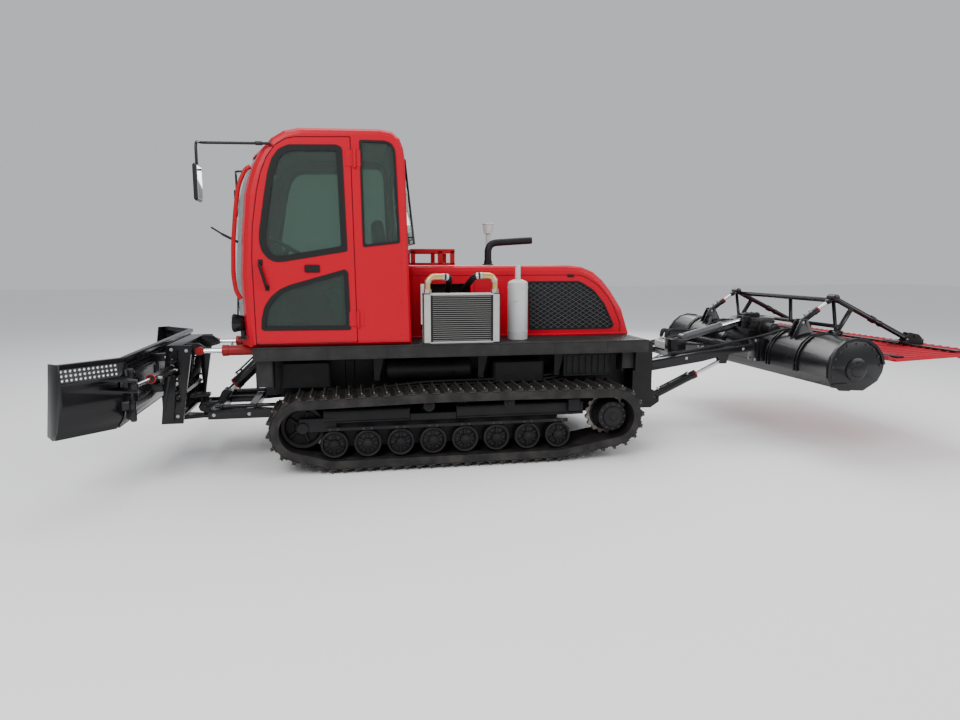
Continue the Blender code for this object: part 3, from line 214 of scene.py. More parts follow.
DECK = Finish(
    "deck_plate_finish", "deck_plate", (0.012, 0.0115, 0.0115), 0.5, specular=0.3, grain=9.0,
    wear=0.35, worn=(0.05, 0.044, 0.039), bump=0.0004)
CYLINDER_RED = Finish(
    "red_cylinder_paint", "cylinder_red", (0.27, 0.004, 0.006), 0.36, specular=0.3, grain=8.0,
    wear=0.3, worn=(0.16, 0.02, 0.02))
CHROME = Finish("chrome_rod", "chrome", (0.78, 0.78, 0.79), 0.1, metallic=1.0)
ZINC = Finish("zinc_bolts", "aluminium", (0.45, 0.44, 0.42), 0.4, metallic=0.9)
ALUMINIUM = Finish(
    "bare_aluminium", "aluminium", (0.5, 0.5, 0.48), 0.42, metallic=0.7, grain=12.0, wear=0.3,
    worn=(0.33, 0.32, 0.3))
FIN = Finish("cooler_fins", "aluminium", (0.2, 0.2, 0.19), 0.55, metallic=0.5)
GREY = Finish(
    "light_grey_paint", "light_grey", (0.47, 0.48, 0.48), 0.42, coat=0.1, grain=6.0, wear=0.25,
    worn=(0.33, 0.33, 0.32))
BRASS = Finish(
    "brass_fittings", "brass_hose", (0.62, 0.42, 0.16), 0.32, metallic=0.9, grain=20.0, wear=0.5,
    worn=(0.35, 0.24, 0.1))
RUBBER = Finish("black_rubber", "cabin_plastic", (0.007, 0.007, 0.007), 0.6, specular=0.25)
GLASS = Finish("tinted_glass", "glass", (0.25, 0.37, 0.31), 0.03, transmission=0.94)
MIRROR = Finish("mirror_face", "chrome", (0.85, 0.86, 0.88), 0.03, metallic=1.0)
LENS = Finish("lamp_lens", "glass", (0.85, 0.86, 0.88), 0.08, transmission=0.6)
DARK_GREY = Finish("dark_grey_paint", "light_grey", (0.055, 0.055, 0.062), 0.34, coat=0.15)
MESH = Finish("grey_wire_mesh", "black_paint", (0.04, 0.042, 0.045), 0.45, metallic=0.3)
# Near-black painted shade: stands for the shade behind the hood grilles and in the gaps between the
# cooler fins.
PAINTED_SHADE_BLACK = Finish("painted_shade_black", "black_paint", (0.002, 0.002, 0.0025), 0.8)
MAT_RED = Finish(
    "red_finisher_mat", "mat_red", (0.4, 0.005, 0.018), 0.5, specular=0.2, grain=4.0, wear=0.4,
    worn=(0.28, 0.03, 0.045))
FABRIC = Finish("seat_cover", "seat_fabric", (0.03, 0.03, 0.034), 0.88, grain=25.0, bump=0.0006)
PLASTIC = Finish("cabin_trim", "cabin_plastic", (0.03, 0.03, 0.032), 0.55, grain=20.0, bump=0.0003)
SCREEN = Finish("display_face", "cabin_plastic", (0.02, 0.03, 0.035), 0.12, coat=0.5)


# ---------------------------------------------------------------- shapes
def around(points: Sequence) -> list[tuple]:
    """Pairs of each point and the next one, round a closed outline."""
    return list(zip(points, [*points[1:], points[0]]))


def winding(points: Sequence[Vector]) -> float:
    """1 for an anticlockwise outline, -1 for a clockwise one."""
    return 1.0 if sum(a.x * b.y - b.x * a.y for a, b in around(points)) > 0 else -1.0


def ring_points(center: Point, radius: float, count: int) -> list[Flat]:
    """Points round a circle in a plane.

    Args:
        center: centre of the circle, in the plane.
        radius: radius.
        count: number of points.

    Returns:
        The points, anticlockwise.
    """
    turns = [2.0 * math.pi / count * i for i in range(count)]
    return [(center[0] + radius * math.cos(t), center[1] + radius * math.sin(t)) for t in turns]


def bend(before: Vector, corner: Vector, after: Vector, reach: float, steps: int) -> list[Vector]:
    """Curve that replaces one corner.

    Args:
        before: point ahead of the corner.
        corner: the corner.
        after: point behind the corner.
        reach: how far from the corner the curve starts.
        steps: number of segments.

    Returns:
        The points of the curve.
    """
    first = corner + (before - corner).normalized() * reach
    last = corner + (after - corner).normalized() * reach
    return [
        first * (1 - t) ** 2 + corner * 2 * t * (1 - t) + last * t ** 2
        for t in (i / steps for i in range(steps + 1))]


def smooth_path(corners: Iterable[Point], radius: float, steps: int = 6) -> list[Vector]:
    """Replace each inner corner of a line by a bend.

    Args:
        corners: points of the line.
        radius: how far from a corner its bend starts.
        steps: number of segments in a bend.

    Returns:
        The points of the bent line.
    """
    line = [Vector(corner) for corner in corners]
    path = [line[0]]
    for before, corner, after in zip(line, line[1:], line[2:]):
        reach = min(
            radius, (before - corner).length * PATH_SHARE, (after - corner).length * PATH_SHARE)
        path += bend(before, corner, after, reach, steps)
    return [*path, line[-1]]


def rounded(outline: Sequence[Point], radius: float, steps: int = 4) -> list[Flat]:
    """Round the corners of a closed outline.

    Args:
        outline: corners of the outline in its plane.
        radius: how far from a corner its bend starts.
        steps: number of segments in a bend.

    Returns:
        The points of the rounded outline.
    """
    corners = [Vector(p) for p in outline]
    points = []
    for before, (corner, after) in zip([corners[-1], *corners], around(corners)):
        reach = min(
            radius, (before - corner).length * CORNER_SHARE, (after - corner).length * CORNER_SHARE)
        points += [tuple(p) for p in bend(before, corner, after, reach, steps)]
    return points


def inset(outline: Sequence[Point], distance: float) -> list[Flat]:
    """Move a convex outline inwards.

    Args:
        outline: points of the outline in its plane.
        distance: how far inwards, or outwards if negative.

    Returns:
        The moved points.
    """
    points = [Vector(p) for p in outline]
    turn = winding(points)
    moved = []
    for before, (here, after) in zip([points[-1], *points], around(points)):
        normals = [
            Vector((-edge.y, edge.x)) * turn for edge in ((here - before).normalized(),
            (after - here).normalized())]
        bisector = (normals[0] + normals[1]).normalized()
        moved.append(tuple(here + bisector * distance / max(bisector.dot(normals[0]), MITRE_LIMIT)))
    return moved


class Plane(Enum):
    """Plane that an outline is drawn in; it is extruded along the third axis."""

    XZ = ((1, 0, 0), (0, 0, 1), (0, 1, 0))
    XY = ((1, 0, 0), (0, 1, 0), (0, 0, 1))

    def point(self, flat: Point, height: float) -> Vector:
        """Place a flat point at a height above the plane."""
        u, v, w = (Vector(axis) for axis in self.value)
        return u * flat[0] + v * flat[1] + w * height


class Shape:
    """Closed solids gathered in one mesh."""

    def __init__(self) -> None:
        """Start an empty mesh."""
        self.bm = bmesh.new()

    def _soften(self, verts: list[bmesh.types.BMVert], bevel: float) -> None:
        """Bevel every edge between the given vertices."""
        if bevel > 0.0:
            edges = list({edge for vert in verts for edge in vert.link_edges})
            bmesh.ops.bevel(self.bm, geom=edges, offset=bevel, segments=1, affect="EDGES")

    def _ring(
            self, center: Vector, side: Vector, across: Vector, radius: float,
            sides: int) -> list[bmesh.types.BMVert]:
        """Add the vertices of a circle round a point."""
        return [
            self.bm.verts.new(center + side * (radius * u) + across * (radius * v))
            for u, v in ring_points((0.0, 0.0), 1.0, sides)]

    def transform(self, matrix: Matrix) -> "Shape":
        """Move everything gathered so far."""
        bmesh.ops.transform(self.bm, matrix=matrix, verts=self.bm.verts)
        return self

    def loft(
            self, rings: Sequence[list[bmesh.types.BMVert]],
            closing: list[bmesh.types.BMVert] | None = None) -> "Shape":
        """Join rings of vertices by faces.

        Args:
            rings: rings of equal length.
            closing: ring that the last one joins on to; without it both ends are capped.

        Returns:
            This shape.
        """
        faces = []
        for ring, following in zip(
                rings, [*rings[1:]] if closing is None else [*rings[1:], closing]):
            for (a, b), (c, d) in zip(around(ring), around(following)):
                faces.append(self.bm.faces.new((a, b, d, c)))
        if closing is None:
            faces += [self.bm.faces.new(rings[0][::-1]), self.bm.faces.new(rings[-1])]
        bmesh.ops.recalc_face_normals(self.bm, faces=faces)
        return self

    def box(
            self, low: Point, high: Point, bevel: float = 0.0,
            turn: Matrix | None = None) -> "Shape":
        """Add a box.

        Args:
            low: one corner.
            high: the opposite corner.
            bevel: width of its edge bevels.
            turn: matrix applied to the box where it stands.

        Returns:
            This shape.
        """
        first = Vector(min(a, b) for a, b in zip(low, high))
        last = Vector(max(a, b) for a, b in zip(low, high))
        verts = bmesh.ops.create_cube(self.bm, size=1.0)["verts"]
        bmesh.ops.scale(self.bm, vec=last - first, verts=verts)
        bmesh.ops.translate(self.bm, vec=(first + last) / 2.0, verts=verts)
        if turn is not None:
            bmesh.ops.transform(self.bm, matrix=turn, verts=verts)
        self._soften(verts, bevel)
        return self

    def lathe(self, start: Point, end: Point, profile: Sequence[Point], sides: int = 32) -> "Shape":
        """Add a turned solid.

        Args:
            start: point where the profile's distances start.
            end: point that the axis runs towards.
            profile: (distance along the axis, radius) pairs.
            sides: number of sides.

        Returns:
            This shape.
        """
        origin = Vector(start)
        axis = (Vector(end) - origin).normalized()
        side = axis.orthogonal().normalized()
        across = axis.cross(side)
        return self.loft([
            self._ring(origin + axis * distance, side, across, radius, sides)
            for distance, radius in profile])

    def rod(
            self, start: Point, end: Point, radius: float, sides: int = 20, chamfer: float = 0.0,
            end_radius: float | None = None) -> "Shape":
        """Add a round bar between two points.

        Args:
            start: centre of its first end.
            end: centre of its other end.
            radius: radius at the start.
            sides: number of sides.
            chamfer: width of the bevel at each end.
            end_radius: radius at the other end, if it differs.

        Returns:
            This shape.
        """
        length = (Vector(end) - Vector(start)).length
        last = radius if end_radius is None else end_radius
        profile = [(0.0, radius), (length, last)]
        if chamfer > 0.0:
            profile = [
                (0.0, radius - chamfer), (chamfer, radius), (length - chamfer, last),
                (length, last - chamfer)]
        return self.lathe(start, end, profile, sides)

    def prism(
            self, outline: Sequence[Point], start: float, end: float, bevel: float = 0.0,
            plane: Plane = Plane.XZ) -> "Shape":
        """Add an extruded outline.

        Args:
            outline: corners in the plane.
            start: height of one face.
            end: height of the other face.
            bevel: width of its edge bevels.
            plane: plane of the outline.

        Returns:
            This shape.
        """
        lower, upper = (
            [self.bm.verts.new(plane.point(p, height)) for p in outline] for height in (start, end))
        self.loft([lower, upper])
        self._soften(lower + upper, bevel)
        return self

    def band(
            self, outline: Sequence[Point], width: float, start: float, end: float,
            corner: float) -> "Shape":
        """Add a closed flat strip in the XZ plane that follows a convex outline.

        Args:
            outline: outer edge of the strip.
            width: width of the strip, inwards.
            start: place of one face across the machine.
            end: place of the other face.
            corner: how far from a corner its rounding starts.

        Returns:
            This shape.
        """
        outer, inner = (rounded(rim, corner) for rim in (list(outline), inset(outline, width)))
        rows = [
            [self.bm.verts.new(Plane.XZ.point(p, height)) for p in rim]
            for rim, height in ((outer, start), (outer, end), (inner, end), (inner, start))]
        return self.loft(rows, rows[0])

    def tube(
            self, points: Sequence[Point], radius: float, sides: int = 12,
            closed: bool = False) -> "Shape":
        """Add a round bar swept along a line.

        Args:
            points: points of the line.
            radius: radius of the bar.
            sides: number of sides.
            closed: whether the line closes on itself.

        Returns:
            This shape.
        """
        path = [Vector(p) for p in points]
        last = len(path) - 1
        rings = []
        normal = None
        for i, here in enumerate(path):
            before = path[i - 1] if (i > 0 or closed) else here
            after = path[(i + 1) % len(path)] if (i < last or closed) else here
            tangent = (after - before).normalized()
            if normal is None:
                normal = tangent.orthogonal().normalized()
            normal = (normal - tangent * normal.dot(tangent)).normalized()
            rings.append(self._ring(here, normal, tangent.cross(normal), radius, sides))
        if not closed:
            return self.loft(rings)
        first = rings[0]
        shift = min(range(sides), key=lambda k: (first[k].co - rings[-1][0].co).length)
        return self.loft(rings, first[shift:] + first[:shift])

    def mesh(self, name: str) -> bpy.types.Mesh:
        """Turn the gathered solids into mesh data.

        Args:
            name: name of the mesh.

        Returns:
            The mesh.
        """
        mesh = bpy.data.meshes.new(name)
        self.bm.to_mesh(mesh)
        self.bm.free()
        return mesh

    def install(
            self, name: str, finish: Finish, body: str = "chassis", replaces: Sequence[str] = (),
            sharp: float = SHARP_DEGREES) -> bpy.types.Object:
        """Make a finished piece of the gathered solids; see the function install."""
        return install(self.mesh(name), name, finish, body, replaces, sharp)


def place_object(name: str, data: bpy.types.ID) -> bpy.types.Object:
    """Put mesh, light or camera data in the scene as an object."""
    item = bpy.data.objects.new(name, data)
    bpy.context.scene.collection.objects.link(item)
    return item


def install(
        mesh: bpy.types.Mesh, name: str, finish: Finish, body: str, replaces: Sequence[str] = (),
        sharp: float = SHARP_DEGREES) -> bpy.types.Object:
    """Make a finished piece of a mesh and let it ride on a body.

    Args:
        mesh: mesh data, already in place.
        name: name of the piece.
        finish: its finish.
        body: CAD body that it moves with.
        replaces: CAD nodes that it stands for.
        sharp: angle in degrees above which an edge is sharp.

    Returns:
        The piece.
    """
    mesh.name = name
    mesh.materials.clear()
    mesh.materials.append(finish.material())
    mesh.shade_smooth()
    mesh.set_sharp_from_angle(angle=math.radians(sharp))
    piece = place_object(name, mesh)
    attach(piece, body)
    if replaces:
        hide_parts(*replaces)
    LOG.info("%s: %d faces on %s", name, len(mesh.polygons), body)
    return piece


def settle(holder: bpy.types.Object, *helpers: bpy.types.Object) -> bpy.types.Mesh:
    """Mesh of an object with its modifiers applied; the objects are used up.

    Args:
        holder: object with modifiers.
        helpers: objects that the modifiers read.

    Returns:
        The evaluated mesh.
    """
    bpy.context.view_layer.update()
    graph = bpy.context.evaluated_depsgraph_get()
    mesh = bpy.data.meshes.new_from_object(holder.evaluated_get(graph))
    for item in (holder, *helpers):
        bpy.data.objects.remove(item, do_unlink=True)
    return mesh


def repaint(finish: Finish, *nodes: str) -> None:
    """Give CAD nodes a finish.

    Args:
        finish: the finish.
        nodes: names of the nodes.
    """
    for name in nodes:
        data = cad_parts[name].data
        data.materials.clear()
        data.materials.append(finish.material())


def polish(
        node: str, name: str, finish: Finish, body: str, bevel: float = 0.002,
        cutter: bpy.types.Object | None = None, sharp: float = SHARP_DEGREES) -> bpy.types.Object:
    """Stand-in for a CAD node with merged faces, soft edges and smooth shading.

    Args:
        node: CAD node.
        name: name of the new piece.
        finish: its finish.
        body: CAD body that it rides on.
        bevel: width of the edge bevels; 0 leaves the edges.
        cutter: closed object that is taken out of it and used up.
        sharp: angle in degrees above which an edge is sharp.

    Returns:
        The piece.
    """
    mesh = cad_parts[node].data.copy()
    bm = bmesh.new()
    bm.from_mesh(mesh)
    bmesh.ops.remove_doubles(bm, verts=bm.verts, dist=WELD_DISTANCE)
    bmesh.ops.dissolve_limit(
        bm, angle_limit=math.radians(FLAT_DEGREES), verts=bm.verts, edges=bm.edges)
    bm.to_mesh(mesh)
    bm.free()
    holder = place_object("holder", mesh)
    if cutter is not None:
        cut = holder.modifiers.new("cut", "BOOLEAN")
        cut.operation, cut.solver, cut.object = "DIFFERENCE", "EXACT", cutter
    if bevel > 0.0:
        soften = holder.modifiers.new("soften", "BEVEL")
        soften.width, soften.segments, soften.limit_method = bevel, 2, "ANGLE"
        soften.angle_limit = math.radians(sharp)
        soften.use_clamp_overlap = True
    result = settle(holder, *([cutter] if cutter else []))
    return install(result, name, finish, body, [node], sharp)


# ---------------------------------------------------------------- repeated pieces
class Layout(Enum):
    """How a Geometry Nodes tree spreads a tool, with the extra inputs of the tree."""

    POINTS = (("Tool", "Object"),)
    PATH = (("Tool", "Object"), ("Count", "Int"))
    STRANDS = (("Radius", "Float"), ("Sides", "Int"))


class Repeater(Graph):
    """Spreads a small tool with a Geometry Nodes tree and keeps the result as one mesh."""

    def __init__(self, layout: Layout) -> None:
        """Build the node tree.

        Args:
            layout: how the tool is spread.
        """
        super().__init__(bpy.data.node_groups.new(f"spread {layout.name}", "GeometryNodeTree"))
        self.sockets: dict[str, str] = {}
        for name, kind in (("Geometry", "Geometry"), ("Material", "Material"), *layout.value):
            socket = self.tree.interface.new_socket(
                name=name, in_out="INPUT", socket_type=f"NodeSocket{kind}")
            self.sockets[name] = socket.identifier
        self.tree.interface.new_socket(
            name="Geometry", in_out="OUTPUT", socket_type="NodeSocketGeometry")
        self.source = self.add("NodeGroupInput")
        result = self.add("NodeGroupOutput")
        spread, output = {
            Layout.POINTS: self._on_points, Layout.PATH: self._on_path,
            Layout.STRANDS: self._strands}[layout]()
        realize = self.add("GeometryNodeRealizeInstances")
        paint = self.add("GeometryNodeSetMaterial")
        self.link(
            (spread, output, realize, "Geometry"), (realize, "Geometry", paint, "Geometry"),
            (self.source, "Material", paint, "Material"), (paint, "Geometry", result, "Geometry"))

    def _instances(self, points: bpy.types.Node, output: str, turn: bpy.types.Node) -> tuple[
            bpy.types.Node, str]:
        """Put the tool on every point with a rotation."""
        tool = self.add("GeometryNodeObjectInfo", transform_space="ORIGINAL")
        place = self.add("GeometryNodeInstanceOnPoints")
        self.link(
            (self.source, "Tool", tool, "Object"), (points, output, place, "Points"),
            (tool, "Geometry", place, "Instance"), (turn, "Rotation", place, "Rotation"))
        return place, "Instances"

    def _on_points(self) -> tuple[bpy.types.Node, str]:
        """Tool on every vertex, its Z turned to the vertex's facing attribute."""
        facing = self.add(
            "GeometryNodeInputNamedAttribute", {"Name": "facing"}, data_type="FLOAT_VECTOR")
        align = self.add("FunctionNodeAlignRotationToVector", axis="Z")
        self.link((facing, "Attribute", align, "Vector"))
        return self._instances(self.source, "Geometry", align)

    def _on_path(self) -> tuple[bpy.types.Node, str]:
        """Tool along a path in the XZ plane, its X along the path and its Z outwards."""
        curve = self.add("GeometryNodeMeshToCurve")
        spaced = self.add("GeometryNodeResampleCurve")
        tangent = self.add("GeometryNodeInputTangent")
        align = self.add("FunctionNodeAlignRotationToVector", axis="X", pivot_axis="Y")
        self.link(
            (self.source, "Geometry", curve, "Mesh"), (curve, "Curve", spaced, "Curve"),
            (self.source, "Count", spaced, "Count"), (tangent, "Tangent", align, "Vector"))
        return self._instances(spaced, "Curve", align)

    def _strands(self) -> tuple[bpy.types.Node, str]:
        """Round bar along every edge."""
        split = self.add("GeometryNodeSplitEdges")
        curve = self.add("GeometryNodeMeshToCurve")
        circle = self.add("GeometryNodeCurvePrimitiveCircle")
        sweep = self.add("GeometryNodeCurveToMesh", {"Fill Caps": True})
        self.link(
            (self.source, "Geometry", split, "Mesh"), (split, "Mesh", curve, "Mesh"),
            (self.source, "Radius", circle, "Radius"), (self.source, "Sides", circle, "Resolution"),
            (curve, "Curve", sweep, "Curve"), (circle, "Curve", sweep, "Profile Curve"))
        return sweep, "Mesh"

    def run(
            self, places: bpy.types.Mesh, name: str, finish: Finish, body: str,
            tool: Shape | None = None, **values: float) -> bpy.types.Object:
        """Spread the tool over a mesh and install the result.

        Args:
            places: mesh of points or edges.
            name: name of the finished piece.
            finish: its finish.
            body: CAD body that it rides on.
            tool: small shape that is repeated, made round the origin.
            values: other inputs of the tree, by name.

        Returns:
            The piece.
        """
        holder = place_object("places", places)
        modifier = holder.modifiers.new("spread", "NODES")
        modifier.node_group = self.tree
        modifier[self.sockets["Material"]] = finish.material()
        helpers = []
        if tool is not None:
            helpers = [place_object("tool", tool.mesh("tool"))]
            modifier[self.sockets["Tool"]] = helpers[0]
        for key, value in values.items():
            modifier[self.sockets[key]] = value
        return install(settle(holder, *helpers), name, finish, body)


class Kit:
    """The repeaters and the small parts that every sub-assembly shares."""

    def __init__(self) -> None:
        """Build the three repeaters."""
        self.points, self.path, self.strands = (
            Repeater(layout) for layout in (Layout.POINTS, Layout.PATH, Layout.STRANDS))

    def spread(
            self, name: str, finish: Finish, body: str, places: Marks,
            tool: Shape) -> bpy.types.Object:
        """Put a tool on points, its Z in a direction.

        Args:
            name: name of the piece.
            finish: its finish.
            body: CAD body that it rides on.
            places: (position, direction) pairs.
            tool: shape round the origin.

        Returns:
            The piece.
        """
        rows = list(places)
        mesh = bpy.data.meshes.new("marks")
        mesh.from_pydata([tuple(p) for p, _ in rows], [], [])
        facing = mesh.attributes.new("facing", "FLOAT_VECTOR", "POINT")
        for item, (_, direction) in zip(facing.data, rows):
            item.vector = direction
        return self.points.run(mesh, name, finish, body, tool)

    def bolts(
            self, name: str, places: Marks, size: float, body: str = "chassis",
            finish: Finish = ZINC) -> bpy.types.Object:
        """Hexagon bolt heads on washers.

        Args:
            name: name of the piece.
            places: (position on the face, outward direction) pairs.
            size: radius across the head's corners.
            body: CAD body that they ride on.
            finish: their finish.

        Returns:
            The piece.
        """
        foot, up, washer = (0, 0, -0.001), (0, 0, 1), size * 1.35
        head = Shape().lathe(foot, up, [(0.0, washer), (0.001 + size * 0.2, washer)], 12)
        head.lathe((0, 0, 0), up, [(0.0, size), (size * 0.75, size), (size * 0.9, size * 0.82)], 6)
        return self.spread(name, finish, body, places, head)

    def strips(
            self, name: str, segments: Marks, radius: float, finish: Finish,
            sides: int = 6) -> bpy.types.Object:
        """Round bars between pairs of points, as one piece on the chassis."""
        pairs = list(segments)
        mesh = bpy.data.meshes.new("lines")
        mesh.from_pydata(
            [tuple(p) for pair in pairs for p in pair], [(2 * i, 2 * i + 1)
            for i in range(len(pairs))], [])
        return self.strands.run(mesh, name, finish, "chassis", Radius=radius, Sides=sides)


# ---------------------------------------------------------------- running gear
@dataclass
class Tracks:
    """Track belts with their cross bars, and the wheels and frames inside them."""

    kit: Kit
    inner: float = 0.485
    outer: float = 0.925
    belt: float = 0.068
    bar_height: float = 0.035
    pitch: float = 0.0945
    gap: float = 0.0005
    roller_radius: float = 0.105
    roller_height: float = 0.2085
    roller_first: float = -1.72
    roller_pitch: float = 0.2561
    rollers: int = 8
    idler: Spot = (-1.955, 0.34, 0.167)
    sprocket: Spot = (0.528, 0.35, 0.167)
    carriers: tuple[float, ...] = (-0.98, -0.33)
    carrier_height: float = 0.4835
    carrier_radius: float = 0.045
    sprocket_teeth: int = 17

    @property
    def middle(self) -> float:
        """Distance of a track's middle from the machine's middle plane."""
        return (self.inner + self.outer) / 2.0

    def roller_x(self) -> list[float]:
        """Places of the road rollers along the machine."""
        return [self.roller_first + i * self.roller_pitch for i in range(self.rollers)]

    def loop(self, offset: float) -> list[Vector]:
        """Outline round the wheels at a distance from the belt's inner face.

        Args:
            offset: distance outwards.

        Returns:
            The points, in the order in which the track's top runs backwards.
        """
        wheels = [self.idler, self.sprocket]
        wheels += [(x, self.roller_height, self.roller_radius) for x in self.roller_x()[::7]]
        wheels += [(x, self.carrier_height, self.carrier_radius) for x in self.carriers]
        cloud = [
            Vector(p) for x, z, radius in wheels
            for p in ring_points((x, z), radius + self.gap + offset, CIRCLE_STEPS)]
        hull = [cloud[i] for i in convex_hull_2d(cloud)]
        return hull[::-1] if winding(hull) > 0 else hull

    def cross_bar(self) -> Shape:
        """One cross bar with its curved ends and foot bolts."""
        half = (self.outer - self.inner) / 2.0 - 0.004
        top = self.bar_height - 0.003
        shape = Shape().box((-0.03, -half, -0.002), (0.03, half, 0.006), 0.002)
        tall = [(-0.009, 0.004), (0.009, 0.004), (0.0045, top), (-0.0045, top)]
        shape.prism(tall, -half * 0.93, half * 0.93, 0.0015)
        for end in SIDES.values():
            curl = [
                (-0.004, end * half * 0.9), (0.005, end * half * 0.9), (0.024, end * half),
                (0.015, end * half)]
            shape.prism(curl, 0.004, top * 0.8, 0.001, Plane.XY)
            for x in (-0.02, 0.02):
                shape.rod((x, end * 0.1, 0.005), (x, end * 0.1, 0.013), 0.009, 6)
        return shape

    def bar_tip(self) -> Shape:
        """Worn tip of one cross bar."""
        half = (self.outer - self.inner) / 2.0 * 0.92
        top = self.bar_height
        tip = [(-0.0052, top - 0.006), (0.0052, top - 0.006), (0.0042, top), (-0.0042, top)]
        return Shape().prism(tip, -half, half)

    def belt_shape(self, side: float) -> Shape:
        """Closed belt with thick rounded edges and a shallow channel inside."""
        half, height = (self.outer - self.inner) / 2.0, self.belt
        section = [
            (0.0, -half), (height - 0.01, -half), (height, -half + 0.012), (height, half - 0.012),
            (height - 0.01, half), (0.0, half), (0.012, half - 0.03), (0.012, -half + 0.03)]
        loop = self.loop(0.0)
        shape = Shape()
        rows = []
        for before, (point, after) in zip(loop[-1:] + loop, around(loop)):
            along = (after - before).normalized()
            outward = Vector((-along.y, along.x))
            spots = [(point + outward * distance, across) for distance, across in section]
            rows.append([
                shape.bm.verts.new((p.x, side * self.middle + across, p.y)) for p, across in spots])
        return shape.loft(rows, rows[0])

    def build_chain(self, name: str, side: float) -> None:
        """Belt, cross bars and bar tips of one track."""
        loop = self.loop(self.belt)
        count = round(sum((b - a).length for a, b in around(loop)) / self.pitch)
        for piece, finish, tool in (
                ("cross_bars", TRACK, self.cross_bar()), ("bar_tips", EDGE, self.bar_tip())):
            path = bpy.data.meshes.new("path")
            path.from_pydata(
                [(p.x, side * self.middle, p.y) for p in loop], around(range(len(loop))), [])
            self.kit.path.run(path, f"{piece}_{name}", finish, "chassis", tool, Count=count)
        self.belt_shape(side).install(f"track_belt_{name}", BELT, "chassis", [f"track_{name}"], 24)

    def wheel_face(
            self, shape: Shape, x: float, z: float, radius: float, y_in: float,
            y_out: float) -> None:
        """Turned roller with rims on both sides, a dished web and a hub.

        Args:
            shape: shape that takes it.
            x: place along the machine.
            z: height of its axis.
            radius: outer radius.
            y_in: end towards the hull.
            y_out: end away from it.
        """
        width = abs(y_out - y_in)
        rim = radius + 0.0004
        profile = [
            (0.0, radius * 0.3), (0.0, radius * 0.34), (0.026, radius * 0.4), (0.03, radius * 0.76),
            (0.004, radius * 0.84), (0.0, rim - 0.005), (0.003, rim), (width * 0.3, rim),
            (width * 0.33, rim - 0.002), (width * 0.67, rim - 0.002), (width * 0.7, rim),
            (width - 0.003, rim), (width, rim - 0.005), (width - 0.004, radius * 0.84),
            (width - 0.03, radius * 0.76), (width - 0.026, radius * 0.4), (width, radius * 0.34),
            (width, radius * 0.3),]
        shape.lathe((x, y_in, z), (x, y_out, z), profile, 40)
        shape.lathe(
            (x, y_in, z), (x, y_out, z),
            [(-0.012, radius * 0.16), (-0.008, radius * 0.24), (width + 0.008, radius * 0.24),
             (width + 0.012, radius * 0.16)], 24)

    def build_wheels(self, name: str, side: float) -> None:
        """Rollers, idler, sprocket and final drive of one track."""
        shape = Shape()
        bolts = []
        for x in self.roller_x():
            self.wheel_face(
                shape, x, self.roller_height, self.roller_radius, side * 0.573, side * 0.837)
            bolts += [
                ((bx, side * 0.808, bz), (0, side, 0))
                for bx, bz in ring_points((x, self.roller_height), self.roller_radius * 0.58, 6)]
            for turn in range(6):
                spoke = Matrix.Translation((x, 0, self.roller_height)) @ Matrix.Rotation(
                    math.pi * (turn / 3.0 + 1.0 / 6.0), 4, "Y")
                shape.box(
                    (0.036, side * 0.806, -0.005), (self.roller_radius * 0.78, side * 0.826, 0.005),
                    0.0, spoke)
        for x in self.carriers:
            height = self.carrier_height
            shape.lathe(
                (x, side * 0.578, height), (x, side * 0.822, height),
                [(0.0, 0.03), (0.004, 0.0452), (0.07, 0.0452), (0.075, 0.038), (0.169, 0.038),
                 (0.174, 0.0452), (0.24, 0.0452), (0.244, 0.03)], 28)
        x, z, radius = self.idler
        self.wheel_face(shape, x, z, radius, side * 0.633, side * 0.767)
        for spoke in range(5):
            arm = Matrix.Translation((x, 0, z)) @ Matrix.Rotation(2.0 * math.pi * spoke / 5, 4, "Y")
            shape.box((0.035, side * 0.752, -0.01), (radius * 0.76, side * 0.764, 0.01), 0.003, arm)
        shape.install(f"rollers_{name}", CHASSIS, "chassis", [f"track_frame_{name}"])
        self.kit.bolts(f"roller_bolts_{name}", bolts, 0.0065, "chassis", TRACK)

        x, z, radius = self.sprocket
        outline = []
        for i in range(self.sprocket_teeth):
            for share, reach in ((-0.36, 0.0), (-0.17, 0.019), (0.17, 0.019), (0.36, 0.0)):
                turn = 2.0 * math.pi * (i + share) / self.sprocket_teeth
                reach += radius - 0.006
                outline.append((x + reach * math.cos(turn), z + reach * math.sin(turn)))
        gear = Shape().prism(outline, side * 0.684, side * 0.716, 0.002)
        gear.install(f"sprocket_{name}", EDGE)
        drive = Shape()
        drive.lathe(
            (x, side * 0.66, z), (x, side * 1.0, z),
            [(0.0, 0.151), (0.03, 0.151), (0.055, 0.146), (0.062, 0.13), (0.17, 0.1262),
             (0.205, 0.119), (0.214, 0.085), (0.226, 0.08), (0.23, 0.035), (0.236, 0.03)], 48)
        drive.install(f"final_drive_{name}", CHASSIS)
        places = [
            ((bx, side * y, bz), (0, side, 0))
            for y, radius, count in ((0.873, 0.102, 12), (0.723, 0.139, 16))
            for bx, bz in ring_points((x, z), radius, count)]
        self.kit.bolts(f"drive_bolts_{name}", places, 0.0075, "chassis", TRACK)

